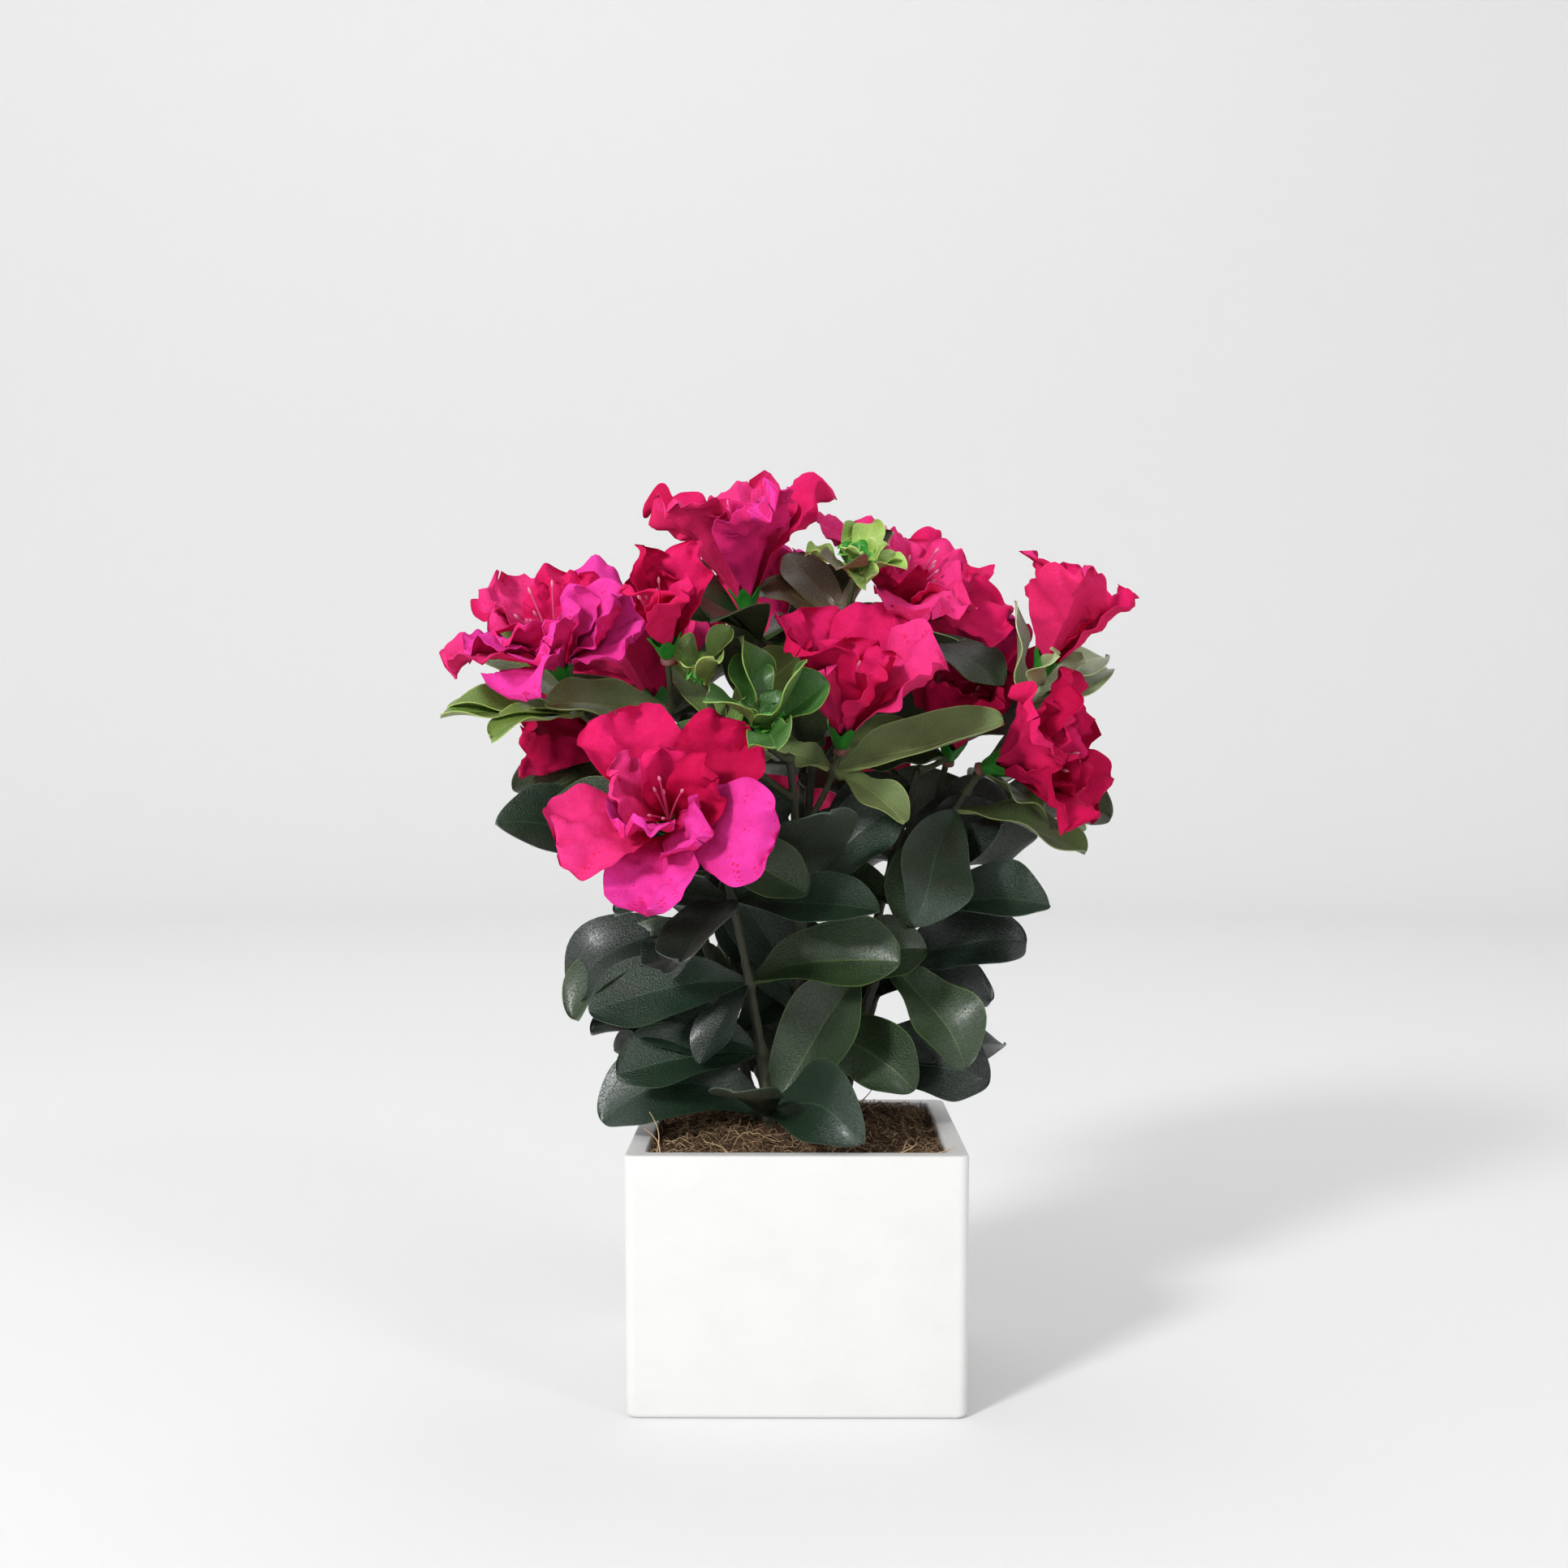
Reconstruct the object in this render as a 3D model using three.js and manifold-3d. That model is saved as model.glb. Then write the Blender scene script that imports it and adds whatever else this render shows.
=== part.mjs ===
// A potted azalea of the made kind: fabric blooms and coated leaves on wired stems, which stand in a
// bed of coconut fibre in a square white planter.
// Millimetres, +Z up, +X to the right, +Y to the back. The origin is the middle of the planter's
// underside. Directions round the plant are in degrees: 0 to the right, 90 to the back, 180 to the
// left and 270 to the front.

import * as THREE from 'three';
import { mergeVertices } from 'three/addons/utils/BufferGeometryUtils.js';
import Module from 'manifold-3d';

const wasm = await Module();
wasm.setup();

// ---- Driving sizes ----------------------------------------------------------------------------

const CLEARANCE = 0.3; // between neighbouring solids

const PLANTER = { width: 100, height: 76, wall: 6, floor: 7, taper: 1.2, corner: 3, foot: 1.6 };
const FIBRE = { edge: 74.4, crown: 77.4, crownWidth: 46 };

const STEM = { foot: 1.65, tip: 1.2, sides: 6, steps: 5 };
const TWIG = { root: 1.05, tip: 0.85, sides: 5, steps: 3 };
const COLLAR = { wall: 1.4, height: 5, sides: 5 };
const CALYX = { mouth: 4.8, root: 1.5, length: 7.5, sides: 6 };

// The blades: leaves, young leaves and petals. Width is a share of the length. Cup lifts the edges.
const LEAF = { width: 0.48, cup: 0.2, ripple: 0, thickness: 1, swell: [1, 0.5], sides: 4, steps: 4 };
const YOUNG_LEAF = { ...LEAF, width: 0.54, cup: 0.3, thickness: 0.9, swell: [1, 0.45], steps: 3 };
const PETAL = {
  width: 0.84, cup: 0.3, ripple: 0.05, thickness: 0.9, swell: [1.1, 0.36], sides: 6, steps: 3,
};
const TALL_PETAL = { ...PETAL, width: 0.76 };
const CUPPED_PETAL = { ...PETAL, width: 0.64, cup: 0.34, swell: [0.9, 0.5] };

// The rings of petals, or of young leaves, that each kind of head is made of, for a size of 1. The
// blades stand on a circle of radius `seat`, and each rolls a little under the next.
const HEADS = {
  open: [
    { blade: PETAL, count: 5, length: 31, rise: 54, droop: 62, turn: 0, seat: 3.4, roll: 15 },
  ],
  tall: [
    { blade: TALL_PETAL, count: 5, length: 36, rise: 72, droop: 44, turn: 0, seat: 3.4, roll: 18 },
  ],
  flared: [
    { blade: PETAL, count: 5, length: 35, rise: 66, droop: 34, turn: 0, seat: 3.4, roll: 18 },
  ],
  half: [
    { blade: CUPPED_PETAL, count: 4, length: 32, rise: 70, droop: 8, turn: 0, seat: 3.4, roll: 22 },
  ],
  young: [
    { blade: YOUNG_LEAF, count: 4, length: 22, rise: 48, droop: 30, turn: 0, seat: 1.6, roll: 8 },
    { blade: YOUNG_LEAF, count: 3, length: 12, rise: 70, droop: 10, turn: 40, seat: 0.6, roll: 8 },
  ],
};

// Stems: the foot on the fibre, the knee that bends the stem, and the tip. Each carries whorls of
// leaves, `at` a share of its length. A leaf is [direction, rise, droop, length, roll], and `fill`
// more are grown by the seeded rule on the sides that are left.
const STEMS = {
  front_left: {
    foot: [-8, -13],
    knee: [-12, -13.5, 117],
    tip: [-22, -32, 160],
    whorls: [
      {
        at: 0.04,
        leaves: [[302, 36, 70, 50, 54], [346, 62, 8, 52, 84], [186, 44, 88, 58, -56]],
        fill: 2,
      },
      { at: 0.29, leaves: [[184, 24, 16, 45, -50], [200, 2, 12, 46, -40]], fill: 2 },
      { at: 0.56, leaves: [[190, 4, 26, 50, -56], [218, -40, 20, 30, -20]], fill: 2 },
      { at: 0.86, leaves: [], fill: 3 },
    ],
  },
  left: {
    foot: [-12, -5],
    knee: [-22, -6, 120],
    tip: [-47, -6, 184],
    whorls: [
      { at: 0.3, leaves: [[176, 20, 30, 46, -40]], fill: 3 },
      { at: 0.62, leaves: [[192, 2, 60, 50, -46], [224, -20, 56, 50, -40]], fill: 3 },
      { at: 0.84, leaves: [[180, 12, 6, 56, -44], [168, 34, 20, 42, -30]], fill: 2 },
    ],
  },
  front_centre: {
    foot: [-3, -9],
    knee: [4, -11, 132],
    tip: [-2, -24, 191],
    whorls: [
      { at: 0.36, leaves: [[322, -8, 44, 32, 50], [200, 66, 12, 44, -70]], fill: 2 },
      { at: 0.64, leaves: [[345, 52, 20, 44, 70], [205, 50, 24, 42, -60]], fill: 2 },
    ],
  },
  centre: {
    foot: [1, -3],
    knee: [0, -2, 145],
    tip: [7, 4, 212],
    whorls: [
      { at: 0.24, leaves: [[195, 66, 14, 48, -70]], fill: 3 },
      { at: 0.56, leaves: [[340, 56, 24, 46, 66], [200, 56, 24, 46, -66]], fill: 3 },
      { at: 0.84, leaves: [], fill: 4 },
    ],
  },
  right: {
    foot: [10, -3],
    knee: [28.5, -1, 142],
    tip: [57, 4, 186],
    whorls: [
      { at: 0.14, leaves: [[354, 8, 24, 46, 54], [18, 16, 24, 54, 40]], fill: 2 },
      { at: 0.42, leaves: [[325, -30, 30, 44, 30], [8, -10, 20, 38, 50], [0, 16, 14, 46, 46]], fill: 2 },
      { at: 0.58, leaves: [[4, 8, 16, 46, 36], [15, 55, 18, 44, 50], [202, 26, 26, 38, -50]], fill: 1 },
      {
        at: 0.88,
        leaves: [[358, 20, 26, 56, 16], [212, -26, 26, 52, -46], [228, -50, 10, 44, -30]],
        fill: 1,
      },
    ],
  },
  right_back: {
    foot: [8, 4],
    knee: [26, 12, 140],
    tip: [39, 18, 188],
    whorls: [
      { at: 0.3, leaves: [[340, 30, 20, 46, 40]], fill: 4 },
      { at: 0.72, leaves: [[330, 40, 30, 44, 40]], fill: 4 },
    ],
  },
  back_left: {
    foot: [-8, 3],
    knee: [-20, 14, 130],
    tip: [-38, 28, 184],
    whorls: [
      { at: 0.14, leaves: [], fill: 4 },
      { at: 0.42, leaves: [], fill: 4 },
      { at: 0.72, leaves: [[170, 24, 26, 46, -30]], fill: 3 },
    ],
  },
  back: {
    foot: [0, 7],
    knee: [0, 20, 138],
    tip: [2, 36, 190],
    whorls: [
      { at: 0.16, leaves: [], fill: 4 },
      { at: 0.36, leaves: [], fill: 4 },
    ],
  },
  back_right: {
    foot: [13, 7],
    knee: [30, 22, 128],
    tip: [48, 36, 182],
    whorls: [
      { at: 0.18, leaves: [], fill: 4 },
      { at: 0.42, leaves: [], fill: 4 },
      { at: 0.72, leaves: [], fill: 4 },
    ],
  },
};

// Sprays: twigs that leave a stem, with a ring of leaves below a head that faces [direction, height]
// in degrees. `seat` is where the head's petals or young leaves meet, and `spin` turns them.
const SPRAYS = {
  bloom_left: {
    stem: 'left', at: 1, seat: [-72, -22, 220],
    facing: [248, 52], head: 'open', size: 1.06, spin: -4,
    leaves: [[174, 8, 4, 42, -20], [196, 4, 10, 44, -30], [225, 0, 20, 36, -20], [165, 40, 8, 42, -30]],
    fill: 0,
  },
  bloom_far_left: {
    stem: 'left', at: 0.96, seat: [-60, 6, 196],
    facing: [190, 10], head: 'half', size: 0.9, spin: 0,
    leaves: [[178, -18, 10, 38, -40]], fill: 1,
  },
  bud_left: {
    stem: 'left', at: 0.92, seat: [-39, -38, 226],
    facing: [262, 50], head: 'half', size: 0.9, spin: 40,
    leaves: [[192, 6, 10, 38, -30]], fill: 1,
  },
  bloom_inner_left: {
    stem: 'left', at: 0.88, seat: [-44, 6, 212],
    facing: [200, 82], head: 'half', size: 1, spin: 10,
    leaves: [], fill: 2,
  },
  bloom_front: {
    stem: 'front_left', at: 1, seat: [-37, -42, 172],
    facing: [266, 22], head: 'open', size: 1.12, spin: -18,
    leaves: [[176, 26, 26, 42, -30], [352, -16, 16, 42, 60]], fill: 0,
  },
  young_front: {
    stem: 'front_centre', at: 1, seat: [-9, -40, 199],
    facing: [262, 44], head: 'young', size: 1.1, spin: 20,
    leaves: [[330, 50, 10, 34, 50], [214, 4, -10, 30, -50], [200, 72, -6, 34, -50], [186, 4, 6, 34, -20]],
    fill: 0,
  },
  young_left: {
    stem: 'front_centre', at: 0.9, seat: [-28, -30, 214],
    facing: [243, 62], head: 'young', size: 0.8, spin: 50,
    leaves: [[186, 20, 24, 36, -30], [345, 50, 10, 38, 50], [205, 4, 10, 36, -30]], fill: 0,
  },
  bloom_centre: {
    stem: 'front_centre', at: 0.8, seat: [14, -22, 200],
    facing: [278, 60], head: 'flared', size: 1.04, spin: -20,
    leaves: [[350, 18, 6, 54, 40], [165, 30, 30, 34, -30], [318, -18, 20, 32, 20]], fill: 1,
  },
  bloom_top: {
    stem: 'centre', at: 1, seat: [-16, -4, 243],
    facing: [245, 74], head: 'tall', size: 1.18, spin: 30,
    leaves: [[348, 0, 4, 32, 40]], fill: 3,
  },
  young_top: {
    stem: 'centre', at: 0.98, seat: [18, -15, 249],
    facing: [280, 52], head: 'young', size: 1.15, spin: 65,
    leaves: [[206, 10, 20, 30, -40], [172, 50, 4, 32, -50], [335, 30, 10, 32, 40]], fill: 0,
  },
  bloom_top_right: {
    stem: 'centre', at: 0.96, seat: [32, 12, 238],
    facing: [300, 54], head: 'open', size: 1.18, spin: 32,
    leaves: [[352, 16, 56, 46, 30], [20, 6, 14, 36, 30]], fill: 2,
  },
  bud_right: {
    stem: 'right', at: 1, seat: [79, 0, 223],
    facing: [330, 66], head: 'half', size: 1.06, spin: 20,
    leaves: [[300, 40, 10, 28, 50], [356, 26, 10, 38, 40], [348, 2, 4, 36, 30], [172, 66, -26, 34, -30]],
    fill: 1,
  },
  bloom_right: {
    stem: 'right', at: 0.94, seat: [64, -4, 190],
    facing: [335, 14], head: 'flared', size: 1, spin: 22,
    leaves: [[334, -34, 4, 26, 10]], fill: 1,
  },
  bloom_inner_right: {
    stem: 'right_back', at: 1, seat: [51, 22, 197],
    facing: [288, 56], head: 'half', size: 0.94, spin: 12,
    leaves: [[10, 30, 50, 46, 36], [200, 10, 20, 38, -36]], fill: 1,
  },
  bloom_back_left: {
    stem: 'back_left', at: 1, seat: [-48, 40, 220],
    facing: [128, 52], head: 'open', size: 1, spin: 5,
    leaves: [], fill: 4,
  },
  bloom_low_back_left: {
    stem: 'back_left', at: 0.94, seat: [-60, 40, 186],
    facing: [146, 12], head: 'flared', size: 0.9, spin: 25,
    leaves: [], fill: 3,
  },
  bloom_back: {
    stem: 'back', at: 1, seat: [-4, 44, 228],
    facing: [94, 62], head: 'tall', size: 0.95, spin: 18,
    leaves: [], fill: 4,
  },
  bloom_low_back: {
    stem: 'back', at: 0.94, seat: [8, 58, 192],
    facing: [84, 20], head: 'open', size: 1, spin: 40,
    leaves: [], fill: 4,
  },
  bloom_back_right: {
    stem: 'back_right', at: 1, seat: [60, 44, 214],
    facing: [48, 48], head: 'open', size: 1, spin: 50,
    leaves: [], fill: 4,
  },
  young_back_right: {
    stem: 'back_right', at: 0.92, seat: [76, 34, 184],
    facing: [20, 24], head: 'young', size: 1.2, spin: 10,
    leaves: [], fill: 4,
  },
  young_back: {
    stem: 'right_back', at: 0.94, seat: [20, 52, 224],
    facing: [84, 60], head: 'young', size: 1.1, spin: 15,
    leaves: [], fill: 4,
  },
};

// The seeded rule for the leaves on the sides that the named ones leave free.
const FILL = {
  rise: 16, riseSpread: 24,
  droop: 28, droopSpread: 16,
  length: 44, lengthSpread: 6,
  roll: 50, rollSpread: 18,
  swing: 16,
};
const BACK_HALF = 15; // masses further back than this turn their leaves' faces to the back
const SUNK = 0.06; // how deep the petals' roots are sunk in the calyx, as a share of its length
const RING_AT = 0.62; // where a spray's leaves sit on its twig
const TWIG_BEND = 0.55; // how far a twig swings in behind its head, as a share of its reach

// A blade that would touch another mass is tilted, swung and shortened in these steps, or left out.
const LEAF_TILTS = [0, 12, -12, 24, -24, 38];
const LEAF_SWINGS = [0, 12, -12, 24, -24, 38, -38];
const LEAF_SHRINKS = [1, 0.8];
const PETAL_TILTS = [0, 8, 16, 24, -8, -16];
const APART = 3; // the least distance between the test points of two masses
const TEST_ALONG = 10;
const TEST_ACROSS = 5;
const RIM_SPACE = 0.7; // what a leaf keeps above the planter and the fibre

const COLOURS = {
  glaze: { color: 0xf2f1ee, roughness: 0.45, metalness: 0 },
  fibre: { color: 0x4a3324, roughness: 0.95, metalness: 0 },
  bark: { color: 0x565240, roughness: 0.8, metalness: 0 },
  leaf: { color: 0x1f3a2c, roughness: 0.42, metalness: 0 },
  young: { color: 0x5d8a3c, roughness: 0.5, metalness: 0 },
  petal: { color: 0xd2145f, roughness: 0.75, metalness: 0 },
};

// ---- Small tools ------------------------------------------------------------------------------

const RAD = Math.PI / 180;
const vec = (x, y, z) => new THREE.Vector3(x, y, z);
const UP = vec(0, 0, 1);
const BACK = vec(0, 1, 0);
const mix = (a, b, share) => a + (b - a) * share;

// A repeatable stream of numbers from -1 to 1.
function stream(seed) {
  let state = (seed * 2654435761) % 4294967296;
  return () => {
    state = (state * 1664525 + 1013904223) % 4294967296;
    return (state / 4294967296) * 2 - 1;
  };
}

// A unit vector from a direction round the plant and a height above the level, in degrees.
function heading(direction, height) {
  const level = Math.cos(height * RAD);
  const x = level * Math.cos(direction * RAD);
  const y = level * Math.sin(direction * RAD);
  return vec(x, y, Math.sin(height * RAD));
}

// Two unit vectors square to `axis` and to each other, turned so that side, front and axis are
// right-handed. Side is square to the guide too.
function squareTo(axis, guide = BACK) {
  const side = guide.clone().cross(axis).normalize();
  return { side, front: axis.clone().cross(side), axis: axis.clone() };
}

// Two unit vectors turned in their own plane, from the first towards the second.
function turned(first, second, angle) {
  const c = Math.cos(angle);
  const s = Math.sin(angle);
  return [
    first.clone().multiplyScalar(c).addScaledVector(second, s),
    second.clone().multiplyScalar(c).addScaledVector(first, -s),
  ];
}

// A closed geometry as a solid, with each of its corners moved by a rule.
function solidOf(geometry, move = null) {
  const bare = new THREE.BufferGeometry();
  bare.setAttribute('position', geometry.getAttribute('position').clone());
  bare.setIndex(geometry.index);
  const corners = bare.getAttribute('position');
  if (move) {
    for (let i = 0; i < corners.count; i += 1) {
      const p = move(corners.getX(i), corners.getY(i), corners.getZ(i));
      corners.setXYZ(i, p.x, p.y, p.z);
    }
  }
  const merged = mergeVertices(bare, 1e-3);
  return new wasm.Manifold(new wasm.Mesh({
    numProp: 3,
    vertProperties: merged.getAttribute('position').array,
    triVerts: new Uint32Array(merged.index.array),
  }));
}

const joined = (solids) => solids.reduce((all, one) => all.add(one));

// The largest body of a solid: what a cut leaves loose is dropped.
function largest(solid) {
  return solid.decompose().sort((a, b) => b.volume() - a.volume())[0];
}

function meshOf(name, solid, colour) {
  const data = solid.getMesh();
  const geometry = new THREE.BufferGeometry();
  geometry.setAttribute('position', new THREE.BufferAttribute(data.vertProperties, data.numProp));
  geometry.setIndex(new THREE.BufferAttribute(data.triVerts, 1));
  geometry.computeVertexNormals();
  const mesh = new THREE.Mesh(geometry, new THREE.MeshStandardMaterial(COLOURS[colour]));
  mesh.name = name;
  return mesh;
}

// ---- Planter and fibre ------------------------------------------------------------------------

function roundedSquare(width, radius) {
  const half = width / 2;
  const flat = half - radius;
  const shape = new THREE.Shape();
  shape.absarc(flat, -flat, radius, -Math.PI / 2, 0);
  shape.absarc(flat, flat, radius, 0, Math.PI / 2);
  shape.absarc(-flat, flat, radius, Math.PI / 2, Math.PI);
  shape.absarc(-flat, -flat, radius, Math.PI, Math.PI * 1.5);
  return shape;
}

function block(width, radius, low, high) {
  const tall = new THREE.ExtrudeGeometry(roundedSquare(width, radius), {
    depth: high - low, bevelEnabled: false, curveSegments: 3,
  });
  return solidOf(tall.translate(0, 0, low));
}

// The walls lean in a little towards the foot, and the bottom edge is rounded.
function planterSolid() {
  const { width, height, wall, floor, taper, corner, foot } = PLANTER;
  const body = new THREE.ExtrudeGeometry(roundedSquare(width - 2 * foot, corner - foot + 0.4), {
    depth: height, bevelThickness: foot, bevelSize: foot, bevelSegments: 3, curveSegments: 3,
  }).translate(0, 0, foot);
  const outer = solidOf(body, (x, y, z) => {
    const lean = 1 - (taper / width) * (1 - Math.min(z / height, 1));
    return vec(x * lean, y * lean, z);
  });
  const above = block(width * 2, 1, height, height * 2);
  const inside = block(width - 2 * wall, corner / 2, floor, height * 2);
  return outer.subtract(above).subtract(inside);
}

// The fill: a block that reaches nearly to the rim, with a low mound that the stems stand on.
function fibreSolid() {
  const width = PLANTER.width - 2 * (PLANTER.wall + CLEARANCE);
  const bed = block(width, PLANTER.corner / 2, PLANTER.floor + CLEARANCE, FIBRE.edge);
  const sunk = 1;
  const tall = FIBRE.crown - FIBRE.edge + sunk;
  const top = FIBRE.crownWidth / Math.SQRT2;
  const base = (width - 1) / Math.SQRT2;
  const mound = new THREE.CylinderGeometry(top, base, tall, 4);
  mound.rotateY(Math.PI / 4).rotateX(Math.PI / 2).translate(0, 0, FIBRE.crown - tall / 2);
  return bed.add(solidOf(mound));
}

// ---- Limbs ------------------------------------------------------------------------------------

// A limb is a curve through three points. Its radius runs from `thick` at the root to `thin`.
function limbPoint(limb, share) {
  const a = limb.from.clone().lerp(limb.knee, share);
  const b = limb.knee.clone().lerp(limb.to, share);
  return a.lerp(b, share);
}

function limbTangent(limb, share) {
  const a = limb.knee.clone().sub(limb.from);
  const b = limb.to.clone().sub(limb.knee);
  return a.lerp(b, share).normalize();
}

const limbRadius = (limb, share) => mix(limb.thick, limb.thin, share);

// `grow` widens the limb all round and past its tip, for cutting its neighbours clear of it.
function limbSolid(limb, sides, steps, grow = 0) {
  const rod = new THREE.CylinderGeometry(1, 1, 1, sides, steps);
  return solidOf(rod, (x, y, z) => {
    const share = y + 0.5;
    const { side, front, axis } = squareTo(limbTangent(limb, share));
    const radius = limbRadius(limb, share) + grow;
    const centre = limbPoint(limb, share).addScaledVector(axis, share === 1 ? grow : 0);
    if (share === 0) {
      // The root is a level cut.
      centre.z -= grow;
      return centre.add(vec(-x * radius, z * radius, 0));
    }
    return centre.addScaledVector(side, -x * radius).addScaledVector(front, z * radius);
  });
}

function stemLimb(stem) {
  return {
    from: vec(stem.foot[0], stem.foot[1], FIBRE.crown + CLEARANCE),
    knee: vec(...stem.knee),
    to: vec(...stem.tip),
    thick: STEM.foot,
    thin: STEM.tip,
  };
}

// A spray's twig grows out of its stem and swings in behind its head.
function twigLimb(spray, stem) {
  const from = limbPoint(stem, spray.at);
  const to = vec(...spray.seat);
  const reach = from.distanceTo(to);
  const knee = to.clone().addScaledVector(heading(...spray.facing), -reach * TWIG_BEND);
  return { from, knee, to, thick: TWIG.root, thin: TWIG.tip };
}

// ---- Blades -----------------------------------------------------------------------------------

// How wide a blade is at a share of its length, 1 at its widest.
function swell([rootward, tipward], share) {
  const widest = rootward / (rootward + tipward);
  const top = widest ** rootward * (1 - widest) ** tipward;
  return (share ** rootward * (1 - share) ** tipward) / top;
}

// A point of a blade. `along` runs from 0 at the root to 1 at the tip, `across` from -1 to 1, and
// `face` from -1 under the blade to 1 on it. The blade leaves `root` in its frame at a direction and
// a rise, and bends down evenly by its droop.
function bladePoint(blade, along, across, face) {
  const { frame, root, length, kind } = blade;
  const turn = blade.direction * RAD;
  const rise = blade.rise * RAD;
  const droop = (Math.abs(blade.droop) < 0.1 ? 0.1 : blade.droop) * RAD;
  const pitch = rise - droop * along;
  const ahead = (length * (Math.sin(rise) - Math.sin(pitch))) / droop;
  const lift = (length * (Math.cos(pitch) - Math.cos(rise))) / droop;
  const [outward, level] = turned(frame.side, frame.front, turn);
  const [, normal] = turned(outward, frame.axis, pitch);
  const [flat, crest] = turned(level, normal, blade.roll * RAD);
  const half = (length * kind.width * swell(kind.swell, along)) / 2;
  const wave = kind.ripple * length * along * along * Math.sin(Math.PI * 1.4 * across + blade.phase);
  const thick = (kind.thickness * face * (1.3 - 0.6 * along)) / 2;
  return root.clone()
    .addScaledVector(outward, ahead)
    .addScaledVector(frame.axis, lift)
    .addScaledVector(flat, half * across)
    .addScaledVector(crest, half * kind.cup * across * across + wave + thick);
}

// A ball whose poles become the root and the tip.
function bladeSolid(blade) {
  const ball = new THREE.SphereGeometry(1, blade.kind.sides, blade.kind.steps);
  return solidOf(ball, (x, y, z) => {
    const polar = Math.acos(Math.max(-1, Math.min(1, y)));
    const ring = Math.sin(polar);
    const along = 1 - (1 - polar / Math.PI) ** 1.3;
    if (ring < 1e-6) return bladePoint(blade, Math.round(along), 0, 0);
    return bladePoint(blade, along, x / ring, z / ring);
  });
}

// Points spread over a blade, which stand for it when masses are kept apart.
function bladeTests(blade) {
  const points = [];
  for (let i = 1; i <= TEST_ALONG; i += 1) {
    for (let j = 0; j < TEST_ACROSS; j += 1) {
      points.push(bladePoint(blade, i / (TEST_ALONG + 0.3), (2 * j) / (TEST_ACROSS - 1) - 1, 0));
    }
  }
  return points;
}

// ---- Growing the plant ------------------------------------------------------------------------

const stems = {};
const masses = {};
const taken = []; // the test points of what has been placed, each with the name of its owner

function take(points, owner) {
  points.forEach((point) => taken.push({ point, owner }));
}

function limbTests(limb) {
  const steps = Math.ceil(limb.from.distanceTo(limb.to) / APART);
  return Array.from({ length: steps + 1 }, (_, i) => limbPoint(limb, i / steps));
}

// True where no test point is near another mass, in the planter or in the fibre.
function isFree(points, owner, stem) {
  const rim = PLANTER.width / 2 + RIM_SPACE;
  const mound = FIBRE.crownWidth / 2;
  return points.every((p) => {
    const reach = Math.max(Math.abs(p.x), Math.abs(p.y));
    const ground = reach < mound ? FIBRE.crown : PLANTER.height;
    if (reach < rim && p.z < ground + RIM_SPACE) return false;
    return taken.every((other) => other.owner === owner || other.owner === stem
      || other.point.distanceToSquared(p) > APART * APART);
  });
}

// Adds a blade to a mass, changed by the steps until it is free. With no free place it is left out.
function settle(mass, blade, tilts, swings = [0], shrinks = [1]) {
  for (const shrink of shrinks) {
    for (const tilt of tilts) {
      for (const swing of swings) {
        const tried = {
          ...blade,
          direction: blade.direction + swing,
          rise: blade.rise + tilt,
          length: blade.length * shrink,
        };
        const points = bladeTests(tried);
        if (isFree(points, mass.name, mass.stem)) {
          mass.blades.push(tried);
          take(points, mass.name);
          return;
        }
      }
    }
  }
}

function placeLeaf(mass, [direction, rise, droop, length, roll]) {
  const leaf = {
    frame: squareTo(UP), root: mass.root, kind: LEAF, phase: 0, direction, rise, droop, length, roll,
  };
  settle(mass, leaf, LEAF_TILTS, LEAF_SWINGS, LEAF_SHRINKS);
  mass.used.push(direction);
}

// The direction that is furthest from the leaves already there.
function widestGap(used, random) {
  if (!used.length) return random() * 180;
  const sorted = used.map((a) => ((a % 360) + 360) % 360).sort((a, b) => a - b);
  let best = { width: -1, middle: 0 };
  sorted.forEach((start, i) => {
    const end = i + 1 < sorted.length ? sorted[i + 1] : sorted[0] + 360;
    if (end - start > best.width) best = { width: end - start, middle: (start + end) / 2 };
  });
  return best.middle;
}

function fillLeaf(mass) {
  const { random } = mass;
  const direction = widestGap(mass.used, random) + random() * FILL.swing;
  placeLeaf(mass, [
    direction,
    FILL.rise + random() * FILL.riseSpread,
    FILL.droop + random() * FILL.droopSpread,
    FILL.length + random() * FILL.lengthSpread,
    mass.front * FILL.roll * Math.cos(direction * RAD) + random() * FILL.rollSpread,
  ]);
}

// A head's blades, ring by ring, in the frame of its own axis.
function headBlades(spray, mass) {
  const frame = squareTo(heading(...spray.facing), UP);
  const middle = vec(...spray.seat).addScaledVector(frame.axis, -CALYX.length * SUNK);
  HEADS[spray.head].forEach((ring) => {
    for (let i = 0; i < ring.count; i += 1) {
      const direction = spray.spin + ring.turn + (i * 360) / ring.count + mass.random() * 6;
      const petal = {
        frame,
        direction,
        root: middle.clone()
          .addScaledVector(frame.side, ring.seat * Math.cos(direction * RAD))
          .addScaledVector(frame.front, ring.seat * Math.sin(direction * RAD)),
        kind: ring.blade,
        rise: ring.rise + mass.random() * 4,
        droop: ring.droop + mass.random() * 7,
        length: ring.length * spray.size * (1 + mass.random() * 0.06),
        roll: ring.roll,
        phase: mass.random() * 0.9,
      };
      settle(mass, petal, PETAL_TILTS);
    }
  });
}

Object.entries(STEMS).forEach(([name, stem]) => {
  stems[name] = stemLimb(stem);
  take(limbTests(stems[name]), name);
});

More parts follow.
